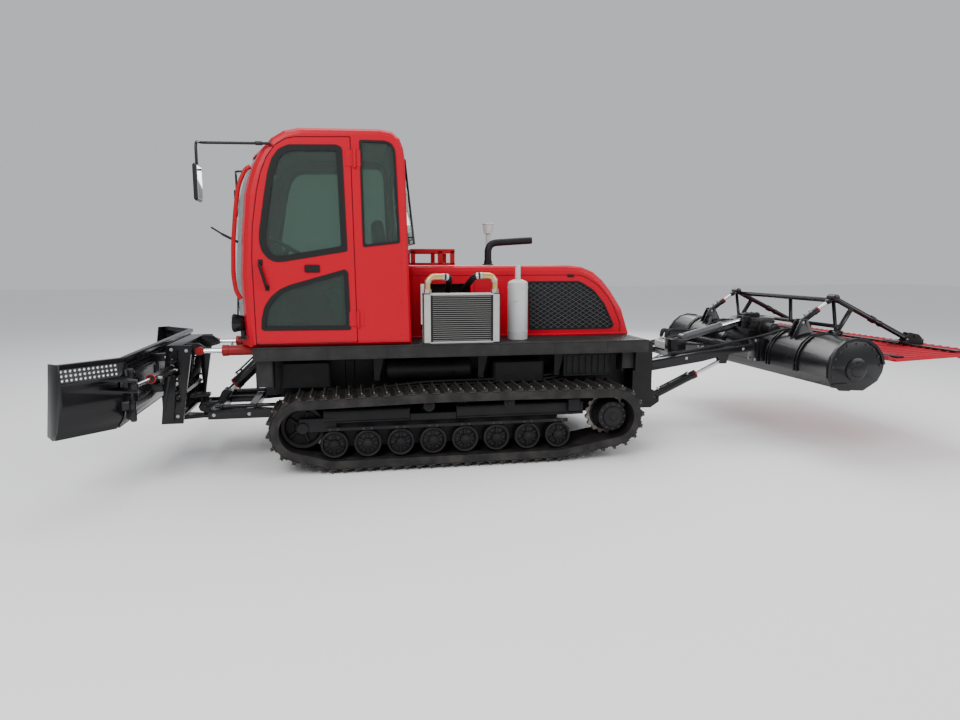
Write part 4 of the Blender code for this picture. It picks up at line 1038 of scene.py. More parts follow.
    def build_side_frame(self, name: str, side: float) -> None:
        """Guards, ribs and bolts on the beam above the rollers."""
        last = self.roller_x()[-1]
        shape = Shape()
        inner, outer = side * 0.61, side * 0.8
        for x0, x1, z1 in ((-1.8, -1.13, 0.475), (-1.13, -0.76, 0.425), (-0.76, 0.3, 0.475)):
            shape.box((x0, inner, 0.365), (x1, outer, z1), 0.005)
        for x0, x1 in ((-1.79, -1.14), (-0.75, 0.29)):
            for z in (0.372, 0.452):
                shape.box((x0, outer, z), (x1, side * 0.812, z + 0.014), 0.003)
        shape.box(
            (self.roller_first - 0.03, side * 0.69, 0.16), (last + 0.03, side * 0.715, 0.37), 0.003)
        shape.box((0.16, side * 0.77, 0.395), (0.26, side * 0.835, 0.5), 0.005)
        for x in self.carriers:
            height = self.carrier_height
            shape.rod((x, side * 0.6, height), (x, side * 0.83, height), 0.02, 16, 0.003)
            shape.prism(
                [(x - 0.06, 0.42), (x + 0.06, 0.42), (x + 0.025, 0.5), (x - 0.025, 0.5)],
                side * 0.692, side * 0.708, 0.003)
        ix, iz, _ = self.idler
        for y in (0.597, 0.783):
            shape.box(
                (ix - 0.03, side * y, iz - 0.035), (-1.7, side * (y + 0.02), iz + 0.075), 0.004)
        shape.rod((ix, side * 0.59, iz), (ix, side * 0.82, iz), 0.045, 28, 0.004)
        shape.box(
            (self.roller_first - 0.06, side * 0.838, 0.318), (last + 0.08, side * 0.846, 0.345),
            0.003)
        for x in (-1.4, -0.7, 0.1):
            shape.prism(
                [(x - 0.05, 0.474), (x + 0.05, 0.474), (x + 0.03, 0.52), (x - 0.03, 0.52)],
                side * 0.66, side * 0.74, 0.004)
        tension = [(0.0, 0.02), (0.3, 0.02), (0.305, 0.034), (0.62, 0.034), (0.63, 0.028)]
        shape.lathe((-1.9, side * 0.705, 0.42), (0.0, side * 0.705, 0.42), tension, 20)
        shape.install(f"side_frame_{name}", CHASSIS)
        rows = [
            ((x + dx, side * 0.846, 0.332), (0, side, 0)) for x in self.roller_x()
            for dx in (-0.03, 0.03)]
        self.kit.bolts(f"side_frame_bolts_{name}", rows, 0.008, "chassis", TRACK)

    def build(self) -> None:
        """Build both tracks."""
        for name, side in SIDES.items():
            self.build_chain(name, side)
            self.build_wheels(name, side)
            self.build_side_frame(name, side)


@dataclass
class Chassis:
    """Details of the hull, the deck and the rear tower."""

    kit: Kit
    deck_y: float = 0.8
    deck_top: float = 0.968
    deck_front: float = -2.299
    deck_rear: float = 0.859
    tread_pitch: float = 0.06

    def build_deck(self) -> None:
        """Rim, bolts and raised tread of the deck."""
        rim = Shape()
        for side in SIDES.values():
            y = side * self.deck_y
            for low, high in ((0.866, 0.878), (self.deck_top - 0.01, self.deck_top + 0.003)):
                rim.box(
                    (self.deck_front, y - side * 0.002, low),
                    (self.deck_rear, y + side * 0.004, high), 0.003)
            for x in (-2.2, -1.75, -1.3, -0.4, 0.05, 0.5):
                rim.box((x, y, 0.878), (x + 0.01, y + side * 0.003, 0.958), 0.001)
        rim.install("deck_rim", DECK)
        lugs: dict[int, list] = {0: [], 1: []}
        x, row = -1.05, 0
        while x < self.deck_rear - 0.03:
            for side in SIDES.values():
                y = 0.37 + (row % 2) * self.tread_pitch / 2.0
                while y < self.deck_y - 0.05:
                    lugs[row % 2].append(((x, side * y, self.deck_top), (0, 0, 1)))
                    y += self.tread_pitch
            x += self.tread_pitch / 2.0
            row += 1
        for name, odd, (dx, dy) in (("long", 1, (0.015, 0.0028)), ("cross", 0, (0.0028, 0.015))):
            tool = Shape().box((-dx, -dy, -0.001), (dx, dy, 0.0022), 0.001)
            self.kit.spread(f"deck_tread_{name}", DECK, "chassis", lugs[odd], tool)

    def build_side(self, name: str, side: float) -> None:
        """Panels, pipes and posts between the track and the deck on one side."""
        shape = Shape()
        y = side * 0.62
        for x_start, x_end in ((-2.15, -1.62), (-1.55, -0.95), (-0.88, -0.2)):
            shape.box((x_start, side * 0.352, 0.52), (x_end, side * 0.372, 0.86), 0.006)
        shape.box((0.18, y, 0.65), (0.6, y - side * 0.03, 0.855), 0.005)
        for i in range(7):
            x = 0.205 + i * 0.056
            slat = [(x, 0.672), (x + 0.04, 0.672), (x + 0.04, 0.835), (x, 0.835)]
            shape.prism(slat, y, y + side * 0.008, 0.003)
        for x in (-2.285, -2.165, 0.655, 0.775):
            shape.box(
                (x - 0.004, side * 0.616, 0.64 if x < 0 else 0.7), (x + 0.004, side * 0.744, 0.95),
                0.002)
        for x in (-1.4, -0.55, 0.1):
            bracket = [(x, 0.872), (x + 0.09, 0.872), (x + 0.05, 0.7), (x, 0.66)]
            shape.prism(bracket, side * 0.6, side * 0.612, 0.003)
            shape.box((x, side * 0.36, 0.66), (x + 0.05, side * 0.61, 0.7), 0.004)
        shape.rod((-1.3, side * 0.5, 0.735), (-0.6, side * 0.5, 0.735), 0.085, 28, 0.012)
        for x in (-1.18, -0.74):
            shape.lathe(
                (x, side * 0.5, 0.735), (0, side * 0.5, 0.735), [(0.0, 0.088), (0.025, 0.088)], 28)
        shape.box((-0.42, side * 0.4, 0.6), (0.02, side * 0.6, 0.8), 0.018)
        shape.box((-2.12, side * 0.38, 0.6), (-1.74, side * 0.55, 0.82), 0.014)
        shape.install(f"hull_side_{name}", CHASSIS)
        hoses = Shape()
        for shift in (0.0, 0.03, 0.06):
            hoses.tube(
                smooth_path([
                    (-1.8 + shift, side * 0.53, 0.6), (-1.66 + shift, side * 0.57, 0.575),
                    (-1.0, side * (0.575 + shift * 0.3), 0.58 + shift),
                    (-0.1, side * 0.58, 0.585 + shift), (0.2, side * 0.56, 0.62 + shift),
                    (0.42, side * 0.45, 0.64 + shift)], 0.1), 0.011, 10)
        hoses.install(f"hull_hoses_{name}", RUBBER)
        places = [
            ((x, side * 0.372, z), (0, side, 0)) for x in (-2.12, -1.65, -1.52, -0.98, -0.85, -0.23)
            for z in (0.55, 0.83)]
        places += [((x, y, z), (0, side, 0)) for x in (0.188, 0.592) for z in (0.665, 0.845)]
        self.kit.bolts(f"hull_bolts_{name}", places, 0.009, "chassis", CHASSIS)

    def build_rear(self) -> None:
        """Hoses, couplings and bolts on the rear tower."""
        shape = Shape()
        for i in range(6):
            z = 0.56 + 0.045 * i
            for y in (-0.16, 0.16):
                shape.rod((0.878, y, z), (0.925, y, z), 0.014, 12, 0.003)
        shape.box((0.878, -0.24, 0.52), (0.892, 0.24, 0.83), 0.004)
        shape.rod((0.96, -0.06, 0.62), (0.96, 0.06, 0.62), 0.03, 20, 0.004)
        for side in SIDES.values():
            shape.box((0.88, side * 0.06, 0.55), (0.99, side * 0.085, 0.66), 0.006)
        shape.install("rear_couplings", CHASSIS)
        places = [
            ((0.88, y, z), (1, 0, 0)) for y in (-0.46, -0.33, 0.33, 0.46)
            for z in (0.44, 0.56, 0.7, 0.82)]
        self.kit.bolts("rear_tower_bolts", places, 0.01)

    def build(self) -> None:
        """Build the hull's details."""
        repaint(CHASSIS, "main_frame")
        repaint(DECK, "deck")
        self.build_deck()
        for name, side in SIDES.items():
            self.build_side(name, side)
        self.build_rear()


# ---------------------------------------------------------------- engine bay
@dataclass
class EngineBay:
    """Hood trim and mesh, cooler, silencer, exhaust and air cleaner."""

    kit: Kit
    skin: float = 0.32
    mesh_pitch: float = 0.04
    opening: tuple[Flat, ...] = (
        (-0.055, 1.44), (0.407, 1.44), (0.538, 1.364), (0.643, 1.239), (0.733, 1.051),
        (0.705, 1.025), (-0.041, 1.025),)
    cooler: tuple[float, ...] = (-1.015, -0.4, -0.78, -0.705, 0.9685, 1.365)
    fins: int = 22
    muffler: Spot = (-0.197, -0.523, 0.0825)

    def clipped(self, start: Vector, end: Vector) -> tuple[Vector, Vector] | None:
        """Part of a line inside the mesh opening, or None."""
        low, high = 0.0, 1.0
        outline = [Vector(p) for p in inset(self.opening, 0.006)]
        turn = winding(outline)
        along = end - start
        for a, b in around(outline):
            normal = Vector((a.y - b.y, b.x - a.x)) * turn
            rate, gap = normal.dot(along), normal.dot(start - a)
            if abs(rate) < 1e-9:
                if gap < 0:
                    return None
            elif rate > 0:
                low = max(low, -gap / rate)
            else:
                high = min(high, -gap / rate)
        if high - low < 1e-4:
            return None
        return start + along * low, start + along * high

    def build_hood(self) -> None:
        """Diamond mesh, seals, seams and catches of the hood."""
        repaint(RED, "hood")
        guard = Shape()
        for side in SIDES.values():
            y = side * 0.272
            inner = side * 0.238
            guard.box((-1.061, y, 1.68), (-0.686, inner, 1.7175), 0.004)
            guard.box((-1.061, y, 1.5795), (-0.686, inner, 1.602), 0.003)
            for x in (-1.058, -0.83, -0.724):
                guard.box((x, y, 1.59), (x + 0.036, inner, 1.7), 0.003)
        for x in (-1.058, -0.722):
            guard.box((x, -0.255, 1.682), (x + 0.034, 0.255, 1.7155), 0.003)
        guard.install("guard_rack", RAIL_RED, "chassis", ["guard_frame"])
        repaint(CHASSIS, "engine_block")
        # The grilles behind the hood mesh get near-black painted shade, standing for the shaded
        # engine bay behind them.
        repaint(PAINTED_SHADE_BLACK, "hood_grille_left", "hood_grille_right")
        segments = []
        for side in SIDES.values():
            for slope, depth in ((0.62, 0.3165), (-0.62, 0.3185)):
                offset = -0.9
                while offset < 2.6:
                    line = self.clipped(Vector((-0.2, offset)), Vector((0.9, offset + 1.1 * slope)))
                    if line is not None:
                        segments.append(tuple((p.x, side * depth, p.y) for p in line))
                    offset += self.mesh_pitch
        self.kit.strips("hood_mesh", segments, 0.0038, MESH)
        trim = Shape()
        for side in SIDES.values():
            trim.band(inset(self.opening, -0.004), 0.014, side * 0.315, side * 0.3235, 0.03)
        trim.install("hood_seal", RUBBER)
        seams = Shape()
        for side in SIDES.values():
            y = side * (self.skin + 0.0004)
            seams.box((-0.53, y, 0.985), (-0.526, y - side * 0.003, 1.52))
            edge = [
                (-1.085, 1.496), (0.43, 1.496), (0.585, 1.408), (0.705, 1.27), (0.8, 1.055),
                (0.79, 0.99)]
            seams.tube(smooth_path([(x, y, z) for x, z in edge], 0.06, 5), 0.0026, 6)
            for x in (-0.42, 0.3):
                seams.box((x, y - side * 0.004, 1.478), (x + 0.055, y + side * 0.01, 1.502), 0.004)
        seams.install("hood_seams", RUBBER)
        lip = Shape()
        for side in SIDES.values():
            lip.box((-1.09, side * 0.318, 0.969), (0.86, side * 0.334, 0.985), 0.003)
        lip.install("hood_foot_lip", RED)

    def build_cooler(self) -> None:
        """Fins, tanks, elbows and hoses of the oil cooler."""
        x0, x1, y0, y1, z0, z1 = self.cooler
        half_x, half_y = (x1 - x0) / 2.0 - 0.062, (y1 - y0) / 2.0 - 0.002
        fin = Shape().box((-half_x, -half_y, -0.0022), (half_x, half_y, 0.0022))
        middle = ((x0 + x1) / 2.0, (y0 + y1) / 2.0)
        rows = [
            ((*middle, z0 + 0.028 + (z1 - z0 - 0.056) * i / (self.fins - 1)), (0, 0, 1))
            for i in range(self.fins)]
        self.kit.spread("cooler_fin_rows", FIN, "chassis", rows, fin)
        tanks = Shape()
        for x in (x0 - 0.001, x1 - 0.067):
            tanks.box((x, y0 - 0.001, z0), (x + 0.068, y1 + 0.001, z1 + 0.001), 0.01)
        for z in (z0, z1 - 0.018):
            tanks.box((x0 + 0.05, y0 - 0.001, z), (x1 - 0.05, y1 + 0.001, z + 0.019), 0.004)
        for x in (x0 + 0.034, x1 - 0.034):
            for z in (z0 + 0.05, z1 - 0.05):
                tanks.rod((x, y0 - 0.006, z), (x, y0 + 0.01, z), 0.01, 12, 0.002)
        tanks.install("cooler_tanks", ALUMINIUM)
        # The cooler core behind the fins gets near-black painted shade, so the gaps between the
        # fins read dark.
        repaint(PAINTED_SHADE_BLACK, "oil_cooler")
        y = middle[1]
        pipes = Shape()
        bends = (
            [(-0.975, y, z1), (-0.975, y, 1.492), (-0.8, y, 1.492), (-0.78, -0.52, 1.4),
             (-0.78, -0.24, 1.3)],
            [(-0.44, y, z1), (-0.44, y, 1.5), (-0.6, y, 1.5), (-0.64, -0.52, 1.4),
             (-0.64, -0.24, 1.3)])
        collars = Shape()
        rubber = Shape()
        for corners in bends:
            path = smooth_path(corners, 0.062, 8)
            joint = int(0.42 * (len(path) - 1)) + 1
            pipes.tube(path[:joint], 0.0242, 20)
            rubber.tube(path[joint - 1:], 0.0248, 20)
            for share in (0.1, 0.38, 0.46):
                i = int(share * (len(path) - 1))
                along = (path[i + 1] - path[i]).normalized()
                collars.rod(path[i], path[i] + along * 0.02, 0.0275, 20, 0.002)
            base = Vector(corners[0])
            collars.rod(base, base + Vector((0, 0, 0.03)), 0.031, 6, 0.002)
        rubber.tube([(-0.8, -0.25, 1.305), (-0.62, -0.25, 1.305)], 0.02, 16)
        rubber.install("cooler_rubber_hoses", RUBBER)
        pipes.install("cooler_pipes", BRASS, "chassis", ["cooler_hoses"])
        collars.install("cooler_clamps", ZINC)

    def build_stacks(self) -> None:
        """Silencer, exhaust elbow and air cleaner as turned pieces."""
        x, y, radius = self.muffler
        can = Shape()
        profile = [
            (0.0, radius), (0.006, radius + 0.0012), (0.455, radius + 0.0012), (0.47, radius),
            (0.484, 0.066), (0.493, 0.044), (0.498, 0.0225), (0.612, 0.0225), (0.6145, 0.0205)]
        can.lathe((x, y, 0.9685), (x, y, 2.0), profile, 48)
        for height in (0.06, 0.42):
            can.rod((x, y, 0.9685 + height), (x, y, 0.9845 + height), radius + 0.0036, 48)
        can.rod(
            (x - 0.03, y - radius * 0.7, 1.3), (x - 0.04, y - radius * 1.1, 1.3), 0.012, 12, 0.002)
        can.install("silencer_can", GREY, "chassis", ["muffler"])
        pipe = Shape()
        path = smooth_path(
            [(-0.345, 0.0, 1.5815), (-0.345, 0.0, 1.775), (0.055, 0.0, 1.802)], 0.085, 12)
        pipe.tube(path, 0.0315, 28)
        pipe.lathe(
            (-0.345, 0, 1.5815), (-0.345, 0, 2.0),
            [(0.0, 0.05), (0.01, 0.05), (0.012, 0.036), (0.04, 0.036)], 28)
        pipe.install("exhaust_stack", CHASSIS, "chassis", ["exhaust_pipe"])
        cleaner = Shape()
        cleaner.lathe(
            (-0.32, 0.12, 1.5815), (-0.32, 0.12, 2.0),
            [(0.0, 0.03), (0.012, 0.03), (0.014, 0.0225), (0.279, 0.0225), (0.283, 0.04),
             (0.362, 0.05), (0.364, 0.0548), (0.372, 0.0552), (0.3762, 0.05), (0.3766, 0.02)], 40)
        cleaner.install("air_intake_cap", GREY, "chassis", ["air_cleaner"])

    def build(self) -> None:
        """Build everything behind the cab."""
        self.build_hood()
        self.build_cooler()
        self.build_stacks()


# ---------------------------------------------------------------- cab
@dataclass
class Cab:
    """Cab trim: seals, glass, door hardware, lamps, seat and controls."""

    kit: Kit
    half_width: float = 0.779
    door: tuple[Flat, ...] = (
        (-1.94, 2.51), (-1.542, 2.522), (-1.522, 0.998), (-2.268, 0.993), (-2.276, 1.629),
        (-2.262, 1.868), (-2.222, 2.12), (-2.19, 2.25), (-2.145, 2.36), (-2.085, 2.445),
        (-2.01, 2.494),)
    upper: tuple[Flat, ...] = (
        (-1.985, 2.452), (-1.64, 2.461), (-1.604, 2.44), (-1.584, 1.689), (-2.06, 1.61),
        (-2.11, 1.609), (-2.16, 1.634), (-2.2, 1.685), (-2.216, 1.75), (-2.214, 1.82),
        (-2.167, 2.105), (-2.136, 2.26), (-2.105, 2.352), (-2.055, 2.42),)
    lower: tuple[Flat, ...] = (
        (-2.226, 1.112), (-2.212, 1.099), (-1.572, 1.094), (-1.583, 1.53), (-1.604, 1.55),
        (-2.01, 1.435), (-2.085, 1.402), (-2.15, 1.348), (-2.198, 1.275), (-2.22, 1.19),)
    rear: tuple[Flat, ...] = (
        (-1.464, 1.72), (-1.474, 2.5), (-1.285, 2.5), (-1.243, 2.484), (-1.218, 2.448),
        (-1.211, 2.4), (-1.188, 1.752),)
    seat_x: float = -1.5
    pad_cells: int = 40
    pad_sharp: float = 60.0
    pleat_depth: float = 0.01
    seam_depth: float = 0.014

    def build_glass(self) -> None:
        """Glass, rubber seals and black borders of the windows."""
        repaint(RED, "cab_shell", "cab_door")
        repaint(
            GLASS, "windshield", "rear_glass", "side_glass_left", "side_glass_right",
            "door_glass_upper", "door_glass_lower")
        face = self.half_width
        for body, name, outline, width in (
                ("door", "upper_window_seal", self.upper, 0.046),
                ("door", "lower_window_seal", self.lower, 0.034),
                ("chassis", "rear_window_seal", self.rear, 0.018),):
            seal = Shape().band(
                inset(outline, -0.003), width, -(face - 0.014), -(face + 0.003), 0.02)
            seal.install(name, RUBBER, body)
        far = Shape()
        for outline, width in ((self.rear, 0.018), (self.upper, 0.03)):
            far.band(inset(outline, -0.003), width, face - 0.014, face + 0.003, 0.02)
        far.install("right_window_seals", RUBBER)
        gasket = Shape()
        gasket.band(inset(self.door, -0.0022), 0.0055, -(face - 0.02), -(face - 0.004), 0.03)
        gasket.install("door_gasket", RUBBER)

    def build_door_hardware(self) -> None:
        """Handle, lock plate, hinges and hinge pins of the door."""
        y = -(self.half_width + 0.001)
        handle = Shape()
        grip = smooth_path(
            [(-2.217, y + 0.004, 1.6), (-2.222, y - 0.034, 1.585), (-2.18, y - 0.036, 1.43),
            (-2.175, y + 0.004, 1.416)], 0.03, 5)
        handle.tube(grip, 0.011, 14)
        handle.box((-2.232, y + 0.006, 1.585), (-2.2, y - 0.006, 1.625), 0.003)
        handle.box((-2.19, y + 0.006, 1.395), (-2.16, y - 0.006, 1.435), 0.003)
        handle.box((-1.9, y + 0.004, 1.53), (-1.79, y - 0.012, 1.585), 0.005)
        handle.install("door_handle", RUBBER, "door")
        hinge = Shape()
        leaf = Shape()
        for z0, z1 in ((2.3, 2.44), (1.11, 1.24)):
            hinge.box((-1.58, y + 0.004, z0 + 0.01), (-1.52, y - 0.004, z1 - 0.01), 0.002)
            leaf.rod((-1.514, y - 0.011, z0), (-1.514, y - 0.011, z1), 0.011, 18, 0.002)
            leaf.box((-1.512, y + 0.004, z0 + 0.01), (-1.47, y - 0.004, z1 - 0.01), 0.002)
        hinge.install("door_hinge_leaves", RED, "door")
        leaf.install("door_hinge_barrels", RED)
        places = [((-1.187, y + 0.001, z), (0, -1, 0)) for z in (1.6, 1.3, 1.05)]
        self.kit.bolts("cab_rivets", places, 0.006, "chassis", RED)

    def build_outside(self) -> None:
        """Grab rail, mirrors, lamps, wiper and roof parts."""
        rail = Shape()
        y = -0.722
        corners = [
            (-2.264, 2.299), (-2.3, 2.28), (-2.354, 2.165), (-2.383, 1.985), (-2.409, 1.746),
            (-2.42, 1.504), (-2.404, 1.385), (-2.371, 1.333)]
        rail.tube(smooth_path([(x, y, z) for x, z in corners], 0.05, 5), 0.0162, 16)
        rail.install("grab_rail", RAIL_RED, "chassis", ["handrail"])
        trim = Shape()
        faces = Shape()
        lamps = Shape()
        lenses = Shape()
        for side in SIDES.values():
            arm_y = side * (self.half_width + 0.016)
            head_y = side * 0.9
            path = smooth_path(
                [(-2.105, arm_y, 2.455), (-2.59, arm_y, 2.446), (-2.6, head_y, 2.44),
                (-2.6, head_y, 2.23)], 0.05, 6)
            trim.tube(path, 0.0103, 14)
            trim.rod((-2.215, arm_y, 2.454), (-2.165, arm_y, 2.454), 0.0155, 16, 0.003)
            trim.box((-2.616, head_y - 0.088, 2.027), (-2.588, head_y + 0.088, 2.283), 0.012)
            faces.box((-2.59, head_y - 0.074, 2.042), (-2.5845, head_y + 0.074, 2.268), 0.002)
            lamps.rod(
                (-2.455, side * 0.62, 1.145), (-2.365, side * 0.62, 1.145), 0.072, 32, 0.008, 0.055)
            lamps.box((-2.4, side * 0.62 - 0.012, 1.02), (-2.37, side * 0.62 + 0.012, 1.09), 0.003)
            lamps.box((-2.42, side * 0.62 - 0.02, 1.02), (-2.325, side * 0.62 + 0.02, 1.035), 0.003)
            lenses.lathe(
                (-2.452, side * 0.62, 1.145), (-2.5, side * 0.62, 1.145),
                [(0.0, 0.064), (0.006, 0.063), (0.011, 0.045), (0.013, 0.01)], 32)
            for x in (-2.02, -1.3):
                lamps.box((x, side * 0.6, 2.56), (x + 0.05, side * 0.52, 2.576), 0.003)
        trim.install("mirror_heads", BLACK, "chassis", ["mirror_left", "mirror_right"])
        faces.install("mirror_faces", MIRROR)
        lamps.install("front_lamps", BLACK)
        lenses.install("lamp_lenses", LENS)
        wiper = Shape().rod((-2.498, -0.1, 1.075), (-2.525, 0.3, 1.72), 0.007, 10)
        wiper.rod((-2.535, 0.16, 1.42), (-2.53, 0.42, 1.98), 0.006, 8)
        wiper.rod((-2.47, -0.1, 1.06), (-2.51, -0.1, 1.07), 0.018, 16, 0.003)
        wiper.install("windscreen_wiper", RUBBER)
        self.build_screens()
        roof = Shape().box((-1.8, -0.22, 2.56), (-1.4, 0.22, 2.592), 0.01)
        roof.rod((-1.8, -0.5, 2.565), (-1.8, -0.5, 2.605), 0.012, 14, 0.003)
        roof.rod((-1.76, -0.5, 2.565), (-1.76, -0.5, 2.6), 0.008, 14, 0.002)
        roof.install("roof_hatch", RED)

    def build_screens(self) -> None:
        """Tilted rear window pane with its frame, and the arm in front of the windshield."""
        top, foot, half = (-1.128, 2.39), (-1.062, 1.752), 0.605
        bars = Shape()
        corners = [
            (top[0], -half, top[1]), (top[0], half, top[1]),
            (foot[0], half, foot[1]), (foot[0], -half, foot[1])]
        bars.tube(corners, 0.0095, 10, closed=True)
        for side in SIDES.values():
            bars.rod((-1.145, side * 0.5, 2.392), (-1.11, side * 0.5, 2.386), 0.014, 14, 0.002)
            bars.rod((-1.13, side * 0.56, 1.8), (-1.07, side * 0.56, 1.8), 0.006, 10)
        bars.rod((-2.4, -0.55, 1.757), (-2.515, -0.55, 1.818), 0.01, 12, 0.002)
        bars.rod((-2.505, -0.55, 1.812), (-2.59, -0.55, 1.868), 0.007, 12, 0.002)
        bars.install("rear_screen_frame", BLACK)
        pane = Shape()
        pane.prism(
            [(top[0] - 0.002, top[1]), (top[0] + 0.002, top[1]), (foot[0] + 0.002, foot[1]),
            (foot[0] - 0.002, foot[1])], -half, half)
        pane.install("rear_screen_pane", GLASS)

    def cushion(self, center: Point, size: Point, pleats: int, lean: float) -> Shape:
        """Upholstered pad with pleats and a rounded edge.

        Args:
            center: middle of the pad.
            size: depth, width and thickness.
            pleats: number of pleats across its middle panel.
            lean: tilt about Y in degrees.

        Returns:
            The pad.
        """
        depth, width, thick = size
        shape = Shape()
        steps = [2.0 * i / self.pad_cells - 1.0 for i in range(self.pad_cells + 1)]
        for sign in (1.0, -1.0):
            grid = []
            for u in steps:
                line = []
                for v in steps:
                    crown = (max(0.0, 1.0 - abs(u) ** 6) * max(0.0, 1.0 - abs(v) ** 6)) ** 0.28
                    ridge = 0.0
                    if sign > 0 and abs(v) < 0.62 and abs(u) < 0.8:
                        wave = abs(math.sin(math.pi * pleats * (u + 1.0) / 2.0))
                        ridge = self.pleat_depth * (wave - 1.0)
                    if sign > 0 and abs(abs(v) - 0.64) < 0.03:
                        ridge = -self.seam_depth
                    z = sign * (thick / 2.0) * crown + ridge * crown
                    line.append(shape.bm.verts.new((u * depth / 2.0, v * width / 2.0, z)))
                grid.append(line)
            for near, far in zip(grid, grid[1:]):
                for a, b, c, d in zip(near, far, far[1:], near[1:]):
                    shape.bm.faces.new((a, b, c, d))
        bmesh.ops.remove_doubles(shape.bm, verts=shape.bm.verts, dist=0.0004)
        bmesh.ops.recalc_face_normals(shape.bm, faces=shape.bm.faces)
        return shape.transform(
            Matrix.Translation(center) @ Matrix.Rotation(math.radians(lean), 4, "Y"))

    def build_interior(self) -> None:
        """Seat, wheel, console and display."""
        repaint(PLASTIC, "seat_base", "control_console")
        x = self.seat_x
        seat = self.cushion((x - 0.02, 0.0, 1.32), (0.5, 0.48, 0.125), 5, 0.0)
        back = self.cushion((x + 0.205, 0.0, 1.66), (0.6, 0.47, 0.11), 7, -97.0)
        for name, pad, stands_for in (
                ("seat_cushion", seat, ["seat_pad"]), ("seat_backrest", back, [])):
            piece = pad.install(name, FABRIC, "chassis", stands_for, self.pad_sharp)
        wheel = Shape()
        center = Vector((-2.07, 0.0, 1.729))
        lean = Vector((0.125, 0.0, 0.22)).normalized()
        side = Vector((0.0, 1.0, 0.0))
        up = lean.cross(side)
        rim = [
            center + side * (0.168 * u) + up * (0.168 * v) for u, v in ring_points((0, 0), 1.0, 40)]
        wheel.tube(rim, 0.014, 12, True)
        for degrees in (90, 210, 330):
            turn = math.radians(degrees)
            wheel.rod(
                center, center + (side * math.cos(turn) + up * math.sin(turn)) * 0.165, 0.009, 8)
        wheel.rod(center - lean * 0.02, center + lean * 0.02, 0.036, 20, 0.005)
        wheel.box((-2.335, -0.26, 1.575), (-2.2, 0.38, 1.61), 0.01)
        wheel.box((-2.26, 0.42, 1.6), (-2.22, 0.62, 1.78), 0.008)
        wheel.install("steering_wheel", PLASTIC)
        display = Shape().box((-2.222, 0.43, 1.612), (-2.216, 0.61, 1.768), 0.001)
        display.box((-2.29, -0.2, 1.609), (-2.22, 0.2, 1.6125), 0.001)
        display.install("displays", SCREEN)

    def build(self) -> None:
        """Build the cab's trim."""
        self.build_glass()
        self.build_door_hardware()
        self.build_outside()
        self.build_interior()


# ---------------------------------------------------------------- hydraulic cylinders
@dataclass
class Ram:
    """One hydraulic cylinder: barrel with its pipe and ports, polished rod and eye."""

    barrel: str
    rod: str
    barrel_body: str
    rod_body: str
    base: Spot
    eye: Spot
    radius: float
    reach: float
    rod_radius: float
    rod_start: float
    boss: float
    base_half: float
    eye_half: float
    finish: Finish = BLACK
    pin_axis: Spot = (0.0, 1.0, 0.0)
    port_side: Spot = (0.0, 0.0, 1.0)
    pipe: bool = True

    def at(self, distance: float, lift: float = 0.0) -> Vector:
        """Point beside the axis.

        Args:
            distance: distance from the base pin along the axis.
            lift: distance from the axis, towards the ports.

        Returns:
            The point.
        """
        along = (Vector(self.eye) - Vector(self.base)).normalized()
        port = Vector(self.port_side)
        port = (port - along * port.dot(along)).normalized()
        return Vector(self.base) + along * distance + port * lift

    def build(self) -> None:
        """Build the barrel, its trim, the rod and the eye."""
        pin = Vector(self.pin_axis)
        base, eye = Vector(self.base), Vector(self.eye)
        r = self.radius + 0.0005
        tube = Shape()
        tube.lathe(
            base, eye,
            [(self.boss * 0.55, r * 0.72), (self.boss * 0.95, r * 0.94), (self.boss * 1.15, r),
             (self.reach - 0.05, r), (self.reach - 0.047, r + 0.0035),
             (self.reach - 0.014, r + 0.0035), (self.reach - 0.01, r - 0.002),
             (self.reach + 0.002, r - 0.004), (self.reach + 0.004, self.rod_radius + 0.004)], 36)
        tube.rod(
            base - pin * self.base_half, base + pin * self.base_half, self.boss + 0.0005, 28, 0.003)
        tube.install(f"{self.barrel}_body", self.finish, self.barrel_body, [self.barrel])
        ports = Shape()
        for distance in (self.boss * 1.15 + 0.035, self.reach - 0.075):
            ports.rod(self.at(distance, r * 0.8), self.at(distance, r + 0.016), 0.01, 12, 0.002)
            ports.rod(self.at(distance, r + 0.014), self.at(distance, r + 0.026), 0.008, 6, 0.001)
        ports.rod(
            base - pin * (self.base_half + 0.011), base + pin * (self.base_half + 0.011), 0.0146,
            20, 0.002)
        ports.install(f"{self.barrel}_ports", ZINC, self.barrel_body)
        if self.pipe:
            line = Shape()
            lift = r + 0.014
            line.tube(
                smooth_path([self.at(self.reach - 0.075, r + 0.01),
                self.at(self.reach - 0.075, lift + 0.006), self.at(self.reach - 0.105, lift),
                self.at(self.boss + 0.06, lift)], 0.018, 5), 0.0075, 10)
            for share in (0.35, 0.7):
                place = self.boss + (self.reach - self.boss) * share
                line.rod(self.at(place, r * 0.9), self.at(place, lift + 0.006), 0.009, 12, 0.001)
            line.install(f"{self.barrel}_pipe", RUBBER, self.barrel_body)
        collar = Shape()
        collar.lathe(
            base, eye, [(self.reach - 0.0145, r + 0.0042), (self.reach - 0.002, r + 0.0042)], 36)
        collar.install(f"{self.barrel}_collar", CYLINDER_RED, self.barrel_body)
        full = (eye - base).length
        shaft = Shape()
        shaft.lathe(
            base, eye,
            [(self.rod_start, self.rod_radius - 0.001),
             (full - self.boss * 0.7, self.rod_radius + 0.0002)], 32)
        shaft.install(f"{self.rod}_shaft", CHROME, self.rod_body, [self.rod])
        end = Shape()
        end.rod(eye - pin * self.eye_half, eye + pin * self.eye_half, self.boss + 0.0005, 28, 0.003)
        end.lathe(
            base, eye,
            [(full - self.boss - 0.004, self.rod_radius + 0.004),
             (full - self.boss * 0.5, self.rod_radius + 0.007)], 24)
        end.rod(
            eye - pin * (self.eye_half + 0.01), eye + pin * (self.eye_half + 0.01), 0.0148, 20,
            0.002)
        end.install(f"{self.rod}_eye", self.finish, self.rod_body)


